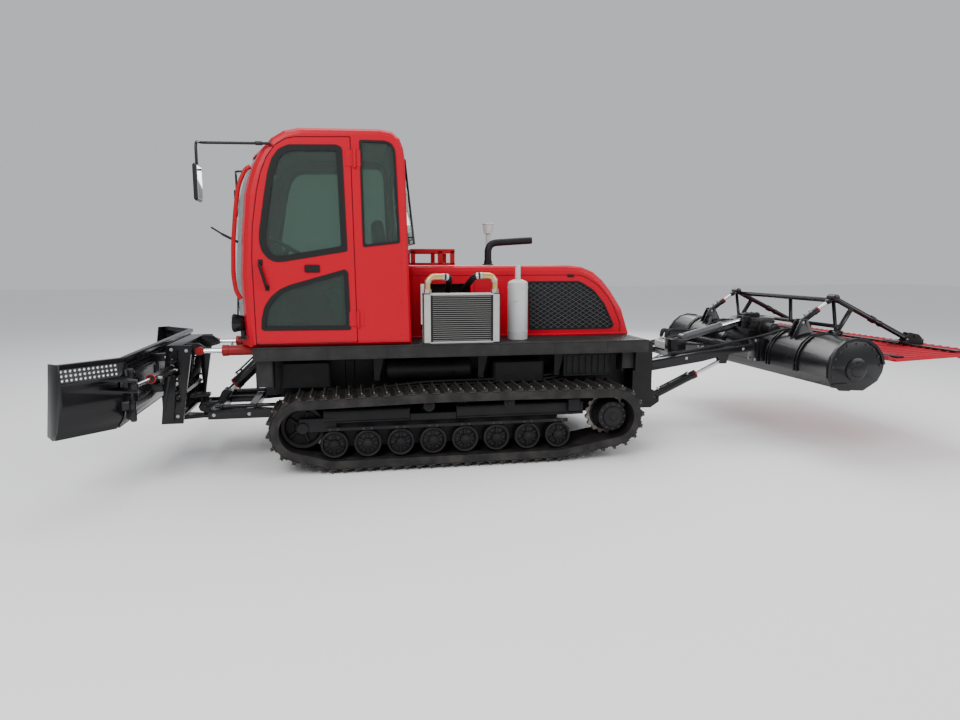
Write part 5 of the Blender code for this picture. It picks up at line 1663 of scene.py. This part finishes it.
# ---------------------------------------------------------------- front tools
@dataclass
class Blade:
    """Blade with its perforated top band, wings, carrier, push frame and cylinders."""

    kit: Kit
    hinge: Flat = (-3.07, 1.084)
    fold: float = math.radians(43.0)
    wing_length: float = 0.467
    band_low: Flat = (-3.1038, 0.836)
    band_high: Flat = (-3.1172, 0.924)
    thickness: float = 0.016
    hole_rows: int = 3
    hole_share: float = 0.88
    rung_lean: float = 0.046
    wing_base: Spot = (-2.93, 0.52, 0.79)
    wing_eye: Spot = (-2.99193, 1.29353, 0.79)

    @property
    def cell(self) -> float:
        """Pitch of the holes."""
        return (Vector(self.band_high) - Vector(self.band_low)).length / self.hole_rows

    def fold_matrix(self, side: float) -> Matrix:
        """Turn that folds one wing forward to its parked place."""
        pivot = Vector((self.hinge[0], side * self.hinge[1], 0.0))
        return (
            Matrix.Translation(pivot) @ Matrix.Rotation(side * self.fold, 4, "Z")
            @ Matrix.Translation(-pivot))

    def cell_tool(self) -> Shape:
        """Square tile of plate with a diamond hole."""
        half = self.cell / 2.0
        shape = Shape()
        rings = []
        spots = ring_points((0.0, 0.0), 1.0, 16)
        for height in (0.0, -self.thickness):
            for reach in (
                    [half / max(abs(u), abs(v)) for u, v in spots],
                    [half * self.hole_share / (abs(u) + abs(v)) for u, v in spots]):
                rings.append([
                    shape.bm.verts.new((u * r, v * r, height)) for (u, v), r in zip(spots, reach)])
        upper, upper_in, lower, lower_in = rings
        return shape.loft([upper, upper_in, lower_in, lower], upper)

    def band_marks(self, y_start: float, y_end: float) -> list[tuple[Point, Point]]:
        """Places of the hole tiles along a stretch of the top band."""
        low, high = Vector(self.band_low), Vector(self.band_high)
        slope = (high - low).normalized()
        facing = (slope.y, 0.0, -slope.x)
        count = max(1, round(abs(y_end - y_start) / self.cell))
        middles = [low + slope * self.cell * (row + 0.5) for row in range(self.hole_rows)]
        return [
            ((middle.x, y_start + (y_end - y_start) * (i + 0.5) / count, middle.y), facing)
            for middle in middles for i in range(count)]

    def band_cutter(self, y_start: float, y_end: float, turn: Matrix) -> bpy.types.Object:
        """Cutter that opens the top band for the hole tiles."""
        low, high = self.band_low, self.band_high
        outline = [
            (low[0] + 0.006, low[1]), (high[0] + 0.006, high[1]), (high[0] - 0.03, high[1]),
            (low[0] - 0.03, low[1])]
        shape = Shape().prism(outline, y_start, y_end).transform(turn)
        return place_object("cutter", shape.mesh("cutter"))

    def build_boards(self) -> None:
        """Centre and wings with their perforated bands, edge bolts and hinge caps."""
        end = self.hinge[1] - 0.075
        cutter = self.band_cutter(-end, end, Matrix.Identity(4))
        polish("blade_center", "blade_board", BLACK, "blade", 0.0015, cutter)
        self.kit.spread(
            "blade_mesh_band", BLACK, "blade", self.band_marks(-end, end), self.cell_tool())
        rows = [((-3.184, -0.96 + 0.16 * i, 0.52), (1, 0, 0)) for i in range(13)]
        self.kit.bolts("blade_edge_bolts", rows, 0.009, "blade", TRACK)
        for name, side in SIDES.items():
            turn = self.fold_matrix(side)
            start = side * (self.hinge[1] + 0.06)
            tip = side * (self.hinge[1] + self.wing_length - 0.02)
            body = f"wing_{name}"
            polish(
                body, f"wing_board_{name}", BLACK, body, 0.0015, self.band_cutter(start, tip, turn))
            marks = self.band_marks(start, tip)
            band = self.kit.spread(f"wing_mesh_band_{name}", BLACK, body, marks, self.cell_tool())
            bolts = [
                ((-3.184, side * (self.hinge[1] + 0.16 + 0.13 * i), 0.52), (1, 0, 0))
                for i in range(3)]
            row = self.kit.bolts(f"wing_edge_bolts_{name}", bolts, 0.009, body, TRACK)
            for piece in (band, row):
                piece.data.transform(turn)
            x, y = self.hinge[0], side * self.hinge[1]
            cap = Shape()
            for z, profile in (
                    (0.86, [(0.0, 0.021), (0.016, 0.021), (0.022, 0.014)]),
                    (0.508, [(0.0, 0.016), (0.006, 0.021), (0.014, 0.021)])):
                cap.lathe((x, y, z), (x, y, 1.0), profile, 24)
            cap.install(f"hinge_caps_{name}", TRACK, "blade")

    def build_carrier(self) -> None:
        """Rungs, gussets, bolts and hoses of the carrier and the push frame."""
        polish("blade_carrier", "carrier_frame", BLACK, "blade", 0.002)
        polish("push_frame", "push_ladder", BLACK, "push_frame", 0.002)
        polish("blade_knuckle", "cross_knuckle", TRACK, "knuckle", 0.001)
        extra = Shape()
        for side in SIDES.values():
            for z in (0.6, 0.68, 0.76, 0.84):
                lean = (z - 0.52) * self.rung_lean
                extra.rod(
                    (-2.992 + lean, side * 0.435, z), (-2.905 + lean, side * 0.435, z), 0.009, 10)
            extra.prism(
                [(-3.035, 0.36), (-2.96, 0.36), (-2.9, 0.93), (-2.925, 0.93)], side * 0.452,
                side * 0.464, 0.003)
            extra.box((-3.02, side * 0.3, 0.39), (-2.99, side * 0.36, 0.54), 0.003)
        extra.rod((-2.93, -0.44, 0.545), (-2.93, 0.44, 0.545), 0.02, 16, 0.003)
        extra.install("carrier_ribs", BLACK, "blade")
        hoses = Shape()
        for side in SIDES.values():
            for i in range(4):
                drop = 0.012 * i
                hoses.tube(
                    smooth_path([
                        (-2.965, side * (0.14 + 0.03 * i), 0.575),
                        (-2.93, side * (0.16 + 0.03 * i), 0.62 + drop),
                        (-2.9, side * (0.26 + 0.02 * i), 0.66 + drop),
                        (-2.905, side * 0.36, 0.72 + drop),
                        (-2.915, side * (0.46 + 0.01 * i), 0.745 + drop),
                        (-2.935, side * (0.5 + 0.02 * i), 0.752)], 0.06), 0.0095, 10)
        for i in range(6):
            y = -0.2 + 0.08 * i
            hoses.tube(
                smooth_path([(-2.99, y, 0.556), (-2.955, y + 0.01, 0.6), (-2.93, y + 0.02, 0.575),
                (-2.915, y + 0.03, 0.5), (-2.94, y + 0.02, 0.4)], 0.04), 0.0105, 10)
        hoses.install("carrier_hoses", RUBBER, "blade")
        rails = Shape()
        for side in SIDES.values():
            for y in (side * 0.38, side * 0.352):
                rails.rod((-2.66, y, 0.452), (-2.02, y, 0.452), 0.012, 14, 0.002)
            for x in (-2.62, -2.36, -2.06):
                rails.box((x, side * 0.335, 0.434), (x + 0.02, side * 0.41, 0.468), 0.003)
            brace = ((-2.36, 0.25), (-2.33, 0.25), (-1.96, 0.4), (-2.0, 0.405))
            rails.prism([(x, side * y) for x, y in brace], 0.385, 0.415, 0.002, Plane.XY)
        rails.install("push_frame_rails", BLACK, "push_frame")
        marks = [
            ((x, side * 0.46, 0.4), (0, side, 0)) for side in SIDES.values()
            for x in (-2.66, -2.39)]
        self.kit.bolts("push_frame_bolts", marks, 0.01, "push_frame")
        marks = [
            ((-3.0, side * (0.385 + 0.05 * k), z), (1, 0, 0.15)) for side in SIDES.values()
            for k in (0, 1) for z in (0.62, 0.87)]
        marks += [
            ((x, side * 0.45, z), (0, side, 0)) for side in SIDES.values()
            for x, z in ((-2.99, 0.4), (-2.93, 0.4), (-2.84, 0.92), (-2.95, 0.93))]
        self.kit.bolts("carrier_bolts", marks, 0.01, "blade")

    def build_rams(self) -> None:
        """Lift, angle and wing cylinders."""
        Ram(
            "blade_lift_barrel", "blade_lift_rod", "lift_barrel", "lift_rod", (-2.235, 0.0, 0.87),
            (-2.625, 0.0, 0.5), 0.05, 0.44, 0.024, 0.2, 0.034, 0.045, 0.045).build()
        for name, side in SIDES.items():
            Ram(
                f"angle_barrel_{name}", f"angle_rod_{name}", "angle_barrels", f"angle_rod_{name}",
                (-2.2, side * 0.36, 0.905), (-2.76, side * 0.36, 0.905), 0.041, 0.385, 0.02, 0.215,
                0.032, 0.04, 0.024, CYLINDER_RED, pipe=False).build()
            base, eye = ((x, side * y, z) for x, y, z in (self.wing_base, self.wing_eye))
            Ram(
                f"wing_barrel_{name}", f"wing_rod_{name}", f"wing_barrel_{name}",
                f"wing_rod_{name}", base, eye, 0.03, 0.48, 0.015, 0.3, 0.026, 0.0185, 0.0185,
                pin_axis=(0.0, 0.0, 1.0), port_side=(1.0, 0.0, 0.0)).build()

    def build(self) -> None:
        """Build the front tools."""
        self.build_boards()
        self.build_carrier()
        self.build_rams()


# ---------------------------------------------------------------- rear tools
@dataclass
class Tiller:
    """Lift arms, tiller housing, drum, smoothing mat and their cylinders."""

    kit: Kit
    drum: Flat = (2.345, 0.765)
    drum_radius: float = 0.1
    tooth_radius: float = 0.168
    half_width: float = 1.393
    shape: tuple[Flat, ...] = (
        (2.14, 0.628), (2.105, 0.7), (2.1, 0.79), (2.12, 0.865), (2.165, 0.93), (2.235, 0.985),
        (2.33, 1.005), (2.43, 0.994), (2.51, 0.948), (2.565, 0.88), (2.59, 0.8), (2.58, 0.74),)
    bands: tuple[float, ...] = (-0.98, -0.58, 0.2, 0.58, 0.98)
    teeth_per_row: int = 30
    rows: int = 4
    arm_y: float = 0.464
    finisher_y: float = 0.774
    pivot: Flat = (2.624, 0.985)
    mat_front: Flat = (2.7, 0.839)
    mat_rear: Flat = (3.5494, 0.875)
    ribs: int = 34

    def grown(self, distance: float) -> list[Flat]:
        """Hood outline moved away from the drum's axis."""
        center = Vector(self.drum)
        offsets = [Vector(p) - center for p in self.shape]
        return [tuple(center + offset * (1.0 + distance / offset.length)) for offset in offsets]

    def build_housing(self) -> None:
        """Hood, raised bands, end plates, gearbox parts and bolts."""
        polish("tiller_housing", "tiller_hood", BLACK, "tiller", 0.0018, sharp=40.0)
        outer, inner = self.grown(0.013), self.grown(-0.004)
        trim = Shape()
        for y in self.bands:
            for shift in (-0.024, 0.012):
                trim.prism(outer[1:-1] + inner[1:-1][::-1], y + shift, y + shift + 0.012, 0.002)
        x, z = self.drum
        for side in SIDES.values():
            lip = self.grown(0.01)[1:-1] + self.grown(-0.012)[1:-1][::-1]
            trim.prism(lip, side * (self.half_width - 0.02), side * (self.half_width + 0.01), 0.002)
            y = side * self.half_width
            trim.lathe(
                (x, y - side * 0.002, z), (x, y + side, z),
                [(0.0, 0.092), (0.01, 0.092), (0.013, 0.086), (0.016, 0.058), (0.026, 0.052),
                 (0.03, 0.03)], 40)
            trim.prism(
                [(2.13, 0.655), (2.2, 0.6), (2.3, 0.594), (2.27, 0.66)], y, y + side * 0.01, 0.002)
        for y in (-0.66, 0.66):
            trim.box((2.575, y - 0.02, 0.735), (2.598, y + 0.02, 0.905), 0.003)
        trim.install("hood_bands", BLACK, "tiller")
        gear = Shape().rod((2.215, -0.11, 1.085), (2.215, -0.11, 1.128), 0.075, 32, 0.008)
        gear.lathe(
            (2.24, -0.3, 0.995), (2.24, -0.6, 0.995),
            [(-0.01, 0.08), (0.02, 0.08), (0.026, 0.06), (0.15, 0.056), (0.16, 0.044),
             (0.185, 0.04)], 32)
        for z_rib in (0.97, 1.01, 1.05):
            gear.box((2.078, -0.306, z_rib), (2.342, 0.086, z_rib + 0.01), 0.002)
        for y in (-0.26, -0.175):
            gear.box((2.04, y, 1.0), (2.115, y + 0.035, 1.105), 0.004)
        gear.rod((2.066, -0.265, 1.072), (2.066, -0.135, 1.072), 0.016, 16, 0.002)
        gear.install("gearbox", CHASSIS, "tiller")
        motor = Shape()
        motor.lathe(
            (2.24, 0.08, 0.995), (2.24, 0.5, 0.995),
            [(-0.01, 0.062), (0.02, 0.062), (0.026, 0.048), (0.12, 0.046), (0.13, 0.036)], 28)
        motor.box((2.35, -0.16, 1.005), (2.43, -0.04, 1.085), 0.008)
        motor.install("drive_motor", GREY, "tiller")
        places = [
            ((bx, side * (self.half_width + 0.008), bz), (0, side, 0)) for side in SIDES.values()
            for bx, bz in ring_points(self.drum, 0.073, 6)]
        places += [
            ((bx, side * (self.half_width + 0.001), bz), (0, side, 0)) for side in SIDES.values()
            for bx, bz in self.grown(-0.034)[1:-1]]
        places += [
            ((bx, -0.11 + by, 1.126), (0, 0, 1)) for bx, by in ring_points((2.215, 0.0), 0.055, 6)]
        self.kit.bolts("tiller_bolts", places, 0.008, "tiller", TRACK)

    def build_drum(self) -> None:
        """Drum with rows of teeth wound round it."""
        x, z = self.drum
        reach = self.half_width - 0.022
        roll = Shape()
        roll.lathe(
            (x, -reach, z), (x, reach, z),
            [(0.0, 0.06), (0.002, self.drum_radius), (2 * reach - 0.002, self.drum_radius),
             (2 * reach, 0.06)], 48)
        roll.rod((x, -self.half_width + 0.001, z), (x, self.half_width - 0.001, z), 0.0288, 20)
        roll.install("drum_roll", TRACK, "drum", ["tiller_drum"])
        tooth = Shape()
        height = self.tooth_radius - self.drum_radius
        tooth.box((-0.016, -0.01, -0.01), (0.016, 0.01, height * 0.45), 0.002)
        tooth.prism(
            [(-0.012, height * 0.4), (0.012, height * 0.4), (0.006, height), (-0.004, height)],
            -0.006, 0.006, 0.001)
        places = []
        for row in range(self.rows):
            for i in range(self.teeth_per_row):
                y = -reach + 0.05 + (2 * reach - 0.1) * i / (self.teeth_per_row - 1)
                turn = 2.0 * math.pi * (row / self.rows + 0.6 * abs(y) / reach)
                direction = Vector((math.cos(turn), 0.0, math.sin(turn)))
                spot = Vector((x, y, z)) + direction * self.drum_radius
                places.append((spot, direction))
        self.kit.spread("drum_teeth", EDGE, "drum", places, tooth)

    def build_arms(self) -> None:
        """Lift arms, tilt cylinder, hoses and arm bolts."""
        polish("tiller_arms", "lift_arms", BLACK, "tiller", 0.002)
        tilt = Shape()
        start, end = Vector((1.475, -0.2, 0.918)), Vector((2.07, -0.2, 1.0725))
        tilt.lathe(
            start, end,
            [(0.0, 0.026), (0.014, 0.0362), (0.355, 0.0362), (0.358, 0.04), (0.385, 0.04),
             (0.39, 0.024)], 32)
        tilt.rod((1.463, -0.245, 0.918), (1.463, -0.155, 0.918), 0.028, 24, 0.003)
        tilt.install("tilt_ram", DARK_GREY, "tiller", ["tilt_cylinder"])
        rod = Shape().lathe(start, end, [(0.38, 0.02), (0.585, 0.02)], 28)
        rod.install("tilt_ram_rod", CHROME, "tiller")
        block = Shape().box((1.335, -0.1, 0.79), (1.44, 0.12, 0.865), 0.006)
        outlets = [(1.36 + 0.02 * (i % 2), -0.07 + 0.05 * i) for i in range(4)]
        for x, y in outlets:
            block.rod((x, y, 0.862), (x, y, 0.905), 0.012, 12, 0.002)
        block.install("valve_block", GREY, "tiller")
        hoses = Shape()
        for i, (x, y) in enumerate(outlets):
            hoses.tube(
                smooth_path([(x, y, 0.9), (1.39, y, 0.97), (1.55, y, 0.965 - 0.01 * i),
                (1.8, y * 0.8, 0.935 + 0.01 * i), (1.98, y * 0.8, 0.955), (2.09, y * 0.6, 0.99)],
                0.07), 0.0125, 12)
        for side in SIDES.values():
            for k in (0, 1):
                y = side * (0.425 - 0.028 * k)
                hoses.tube(
                    smooth_path([
                        (1.02, y, 0.735), (1.3, y, 0.79), (1.75, y, 0.865),
                        (1.98, side * (0.42 - 0.028 * k), 0.905),
                        (2.12, side * (0.5 + 0.03 * k), 0.955),
                        (2.2, side * (0.6 + 0.02 * k), 1.01),
                        (2.26, side * (0.72 + 0.02 * k), 1.04)], 0.07), 0.0095, 10)
        hoses.install("arm_hoses", RUBBER, "tiller")
        places = [
            ((2.02, side * y, z), (-1, 0, 0)) for side in SIDES.values() for y in (0.415, 0.513)
            for z in (0.735, 0.905)]
        places += [
            ((x, side * 0.494, z), (0, side, 0)) for side in SIDES.values()
            for x, z in ((0.96, 0.69), (1.36, 0.76), (1.91, 0.83))]
        self.kit.bolts("arm_bolts", places, 0.01, "tiller")

    def build_finisher(self) -> None:
        """Lever frame, brackets, adjusters and the ribbed mat."""
        polish("finisher_frame", "lever_frame", BLACK, "finisher", 0.0, sharp=50.0)
        extra = Shape()
        bolts = []
        for side in SIDES.values():
            y = side * self.finisher_y
            extra.lathe(
                (2.572, y - 0.052, 1.3), (2.572, y + 1.0, 1.3),
                [(0.0, 0.024), (0.004, 0.03), (0.1, 0.03), (0.104, 0.024)], 24)
            foot = [(3.3, 0.918), (3.49, 0.918), (3.44, 0.965), (3.34, 0.985)]
            for shift in (-0.036, 0.028):
                extra.prism(foot, y + shift, y + shift + 0.008, 0.002)
            extra.rod((3.4, y - 0.046, 0.948), (3.4, y + 0.046, 0.948), 0.012, 16, 0.002)
            mid = Vector((2.95, y, 1.1165))
            along = Vector((0.828, 0.0, -0.41)).normalized()
            extra.lathe(
                mid, mid + along, [(0.0, 0.026), (0.004, 0.03), (0.05, 0.03), (0.054, 0.026)], 24)
            extra.lathe(
                mid + along * 0.1, mid + along, [(0.0, 0.026), (0.02, 0.029), (0.03, 0.026)], 24)
            extra.box((3.2, y - 0.12, 0.902), (3.26, y + 0.12, 0.912), 0.003)
            bolts += [
                ((3.32 + 0.04 * k, y + s * 0.036, 0.921), (0, 0, 1)) for k in (0, 4)
                for s in (-1, 1)]
        extra.box((3.3, -1.36, 0.8735), (3.35, 1.36, 0.887), 0.003)
        extra.box((2.74, -1.36, 0.843), (2.8, 1.36, 0.857), 0.003)
        extra.install("lever_brackets", BLACK, "finisher")
        self.kit.bolts("lever_bolts", bolts, 0.009, "finisher")
        mat = Shape()
        (fx, fz), (rx, rz) = self.mat_front, self.mat_rear
        slope = (rz - fz) / (rx - fx)
        low = -0.024
        mat.prism(
            [(fx, fz), (rx, rz), (rx, rz + low), (fx, fz + low)], -self.half_width, self.half_width,
            0.004)
        mat.prism(
            [(fx, fz + low), (fx, fz), (fx - 0.05, fz + 0.028), (fx - 0.062, fz + 0.02)],
            -self.half_width + 0.02, self.half_width - 0.02, 0.002)
        mat.install("smoothing_mat", MAT_RED, "finisher", ["finisher_mat"])
        rib = Shape()
        length = rx - fx
        half = 0.011
        rib.box((-length / 2.0 + 0.1, -half, -0.002), (length / 2.0 - 0.002, half, 0.006), 0.003)
        comb = Shape()
        comb.prism(
            [(length / 2.0 + x, z) for x, z in ((-0.26, -0.004), (-0.002, -0.004), (-0.02, -0.032),
            (-0.22, -0.02))], -half, half, 0.002)
        middle = Vector(((fx + rx) / 2.0, 0.0, (fz + rz) / 2.0))
        facing = Vector((-slope, 0.0, 1.0)).normalized()
        edge = self.half_width - 0.035
        places = [
            (middle + Vector((0.0, -edge + 2 * edge * i / (self.ribs - 1), 0.0)), facing)
            for i in range(self.ribs)]
        self.kit.spread("mat_ribs", MAT_RED, "finisher", places, rib)
        under = [(place - facing * 0.022, facing) for place, facing in places]
        self.kit.spread("mat_combs", MAT_RED, "finisher", under, comb)

    def build_rams(self) -> None:
        """Lower lift cylinders and finisher cylinders."""
        for name, side in SIDES.items():
            y = side * self.arm_y
            Ram(
                f"tiller_barrel_{name}", f"tiller_rod_{name}", "tiller_barrels", "tiller_rods",
                (1.06, y, 0.425), (1.72, y, 0.732), 0.034, 0.45, 0.018, 0.28, 0.029, 0.017, 0.017,
                port_side=(0.0, side * 0.25, 1.0)).build()
            y = side * self.finisher_y
            Ram(
                f"finisher_barrel_{name}", f"finisher_rod_{name}", "finisher_barrels",
                "finisher_rods", (2.278, y, 1.091), (2.527, y, 1.268), 0.024, 0.19, 0.013, 0.1,
                0.021, 0.02, 0.02, pipe=False).build()

    def build(self) -> None:
        """Build the rear tools."""
        self.build_housing()
        self.build_drum()
        self.build_arms()
        self.build_finisher()
        self.build_rams()


# ---------------------------------------------------------------- studio
@dataclass
class Studio:
    """Camera, floor and soft lights."""

    camera_place: Spot = (-1.586, -6.161, 1.6)
    camera_pitch: float = 82.03
    camera_turn: float = -10.74
    lens: float = 26.0
    lights: tuple[tuple[str, Spot, float, float], ...] = (
        ("key", (-5.0, -7.0, 6.5), 5.0, 620.0), ("fill", (6.5, -5.5, 4.5), 5.0, 330.0),
        ("top", (0.0, 1.5, 8.0), 7.0, 420.0), ("back", (2.0, 8.0, 5.0), 6.0, 380.0))

    def light(self, name: str, place: Point, target: Point, size: float, power: float) -> None:
        """Add one soft square light.

        Args:
            name: name of the light.
            place: where it stands.
            target: point that it shines at.
            size: length of its side.
            power: power in watts.
        """
        lamp = bpy.data.lights.new(name, "AREA")
        lamp.shape, lamp.size, lamp.energy = "SQUARE", size, power
        item = place_object(name, lamp)
        item.location = place
        item.rotation_euler = (Vector(target) - Vector(place)).to_track_quat("-Z", "Y").to_euler()

    def build(self) -> None:
        """Build the studio."""
        scene = bpy.context.scene
        camera = bpy.data.cameras.new("camera")
        camera.lens, camera.sensor_width, camera.clip_end = self.lens, SENSOR_WIDTH, CLIP_END
        view = place_object("camera", camera)
        view.location = self.camera_place
        view.rotation_euler = (math.radians(self.camera_pitch), 0.0, math.radians(self.camera_turn))
        scene.camera = view
        mesh = Shape().box((-40.0, -40.0, -0.1), (40.0, 40.0, -0.001)).mesh("floor")
        paint = bpy.data.materials.new("studio_floor")
        paint.use_nodes = True
        Graph.fill(
            paint.node_tree.nodes["Principled BSDF"],
            {"Base Color": (0.9, 0.9, 0.9, 1.0), "Roughness": 0.85})
        mesh.materials.append(paint)
        plane = place_object("floor", mesh)
        world = bpy.data.worlds.new("studio")
        world.use_nodes = True
        Graph.fill(
            world.node_tree.nodes["Background"],
            {"Color": (0.93, 0.95, 1.0, 1.0), "Strength": 0.62})
        scene.world = world
        for name, place, size, power in self.lights:
            self.light(name, place, (0.0, 0.0, 1.0), size, power)


def main() -> None:
    """Build the studio and dress every sub-assembly."""
    logging.basicConfig(level=logging.INFO, format="%(name)s %(message)s")
    Studio().build()
    kit = Kit()
    for part in (Tracks, Chassis, EngineBay, Cab, Blade, Tiller):
        part(kit).build()


if __name__ == "__main__":
    main()
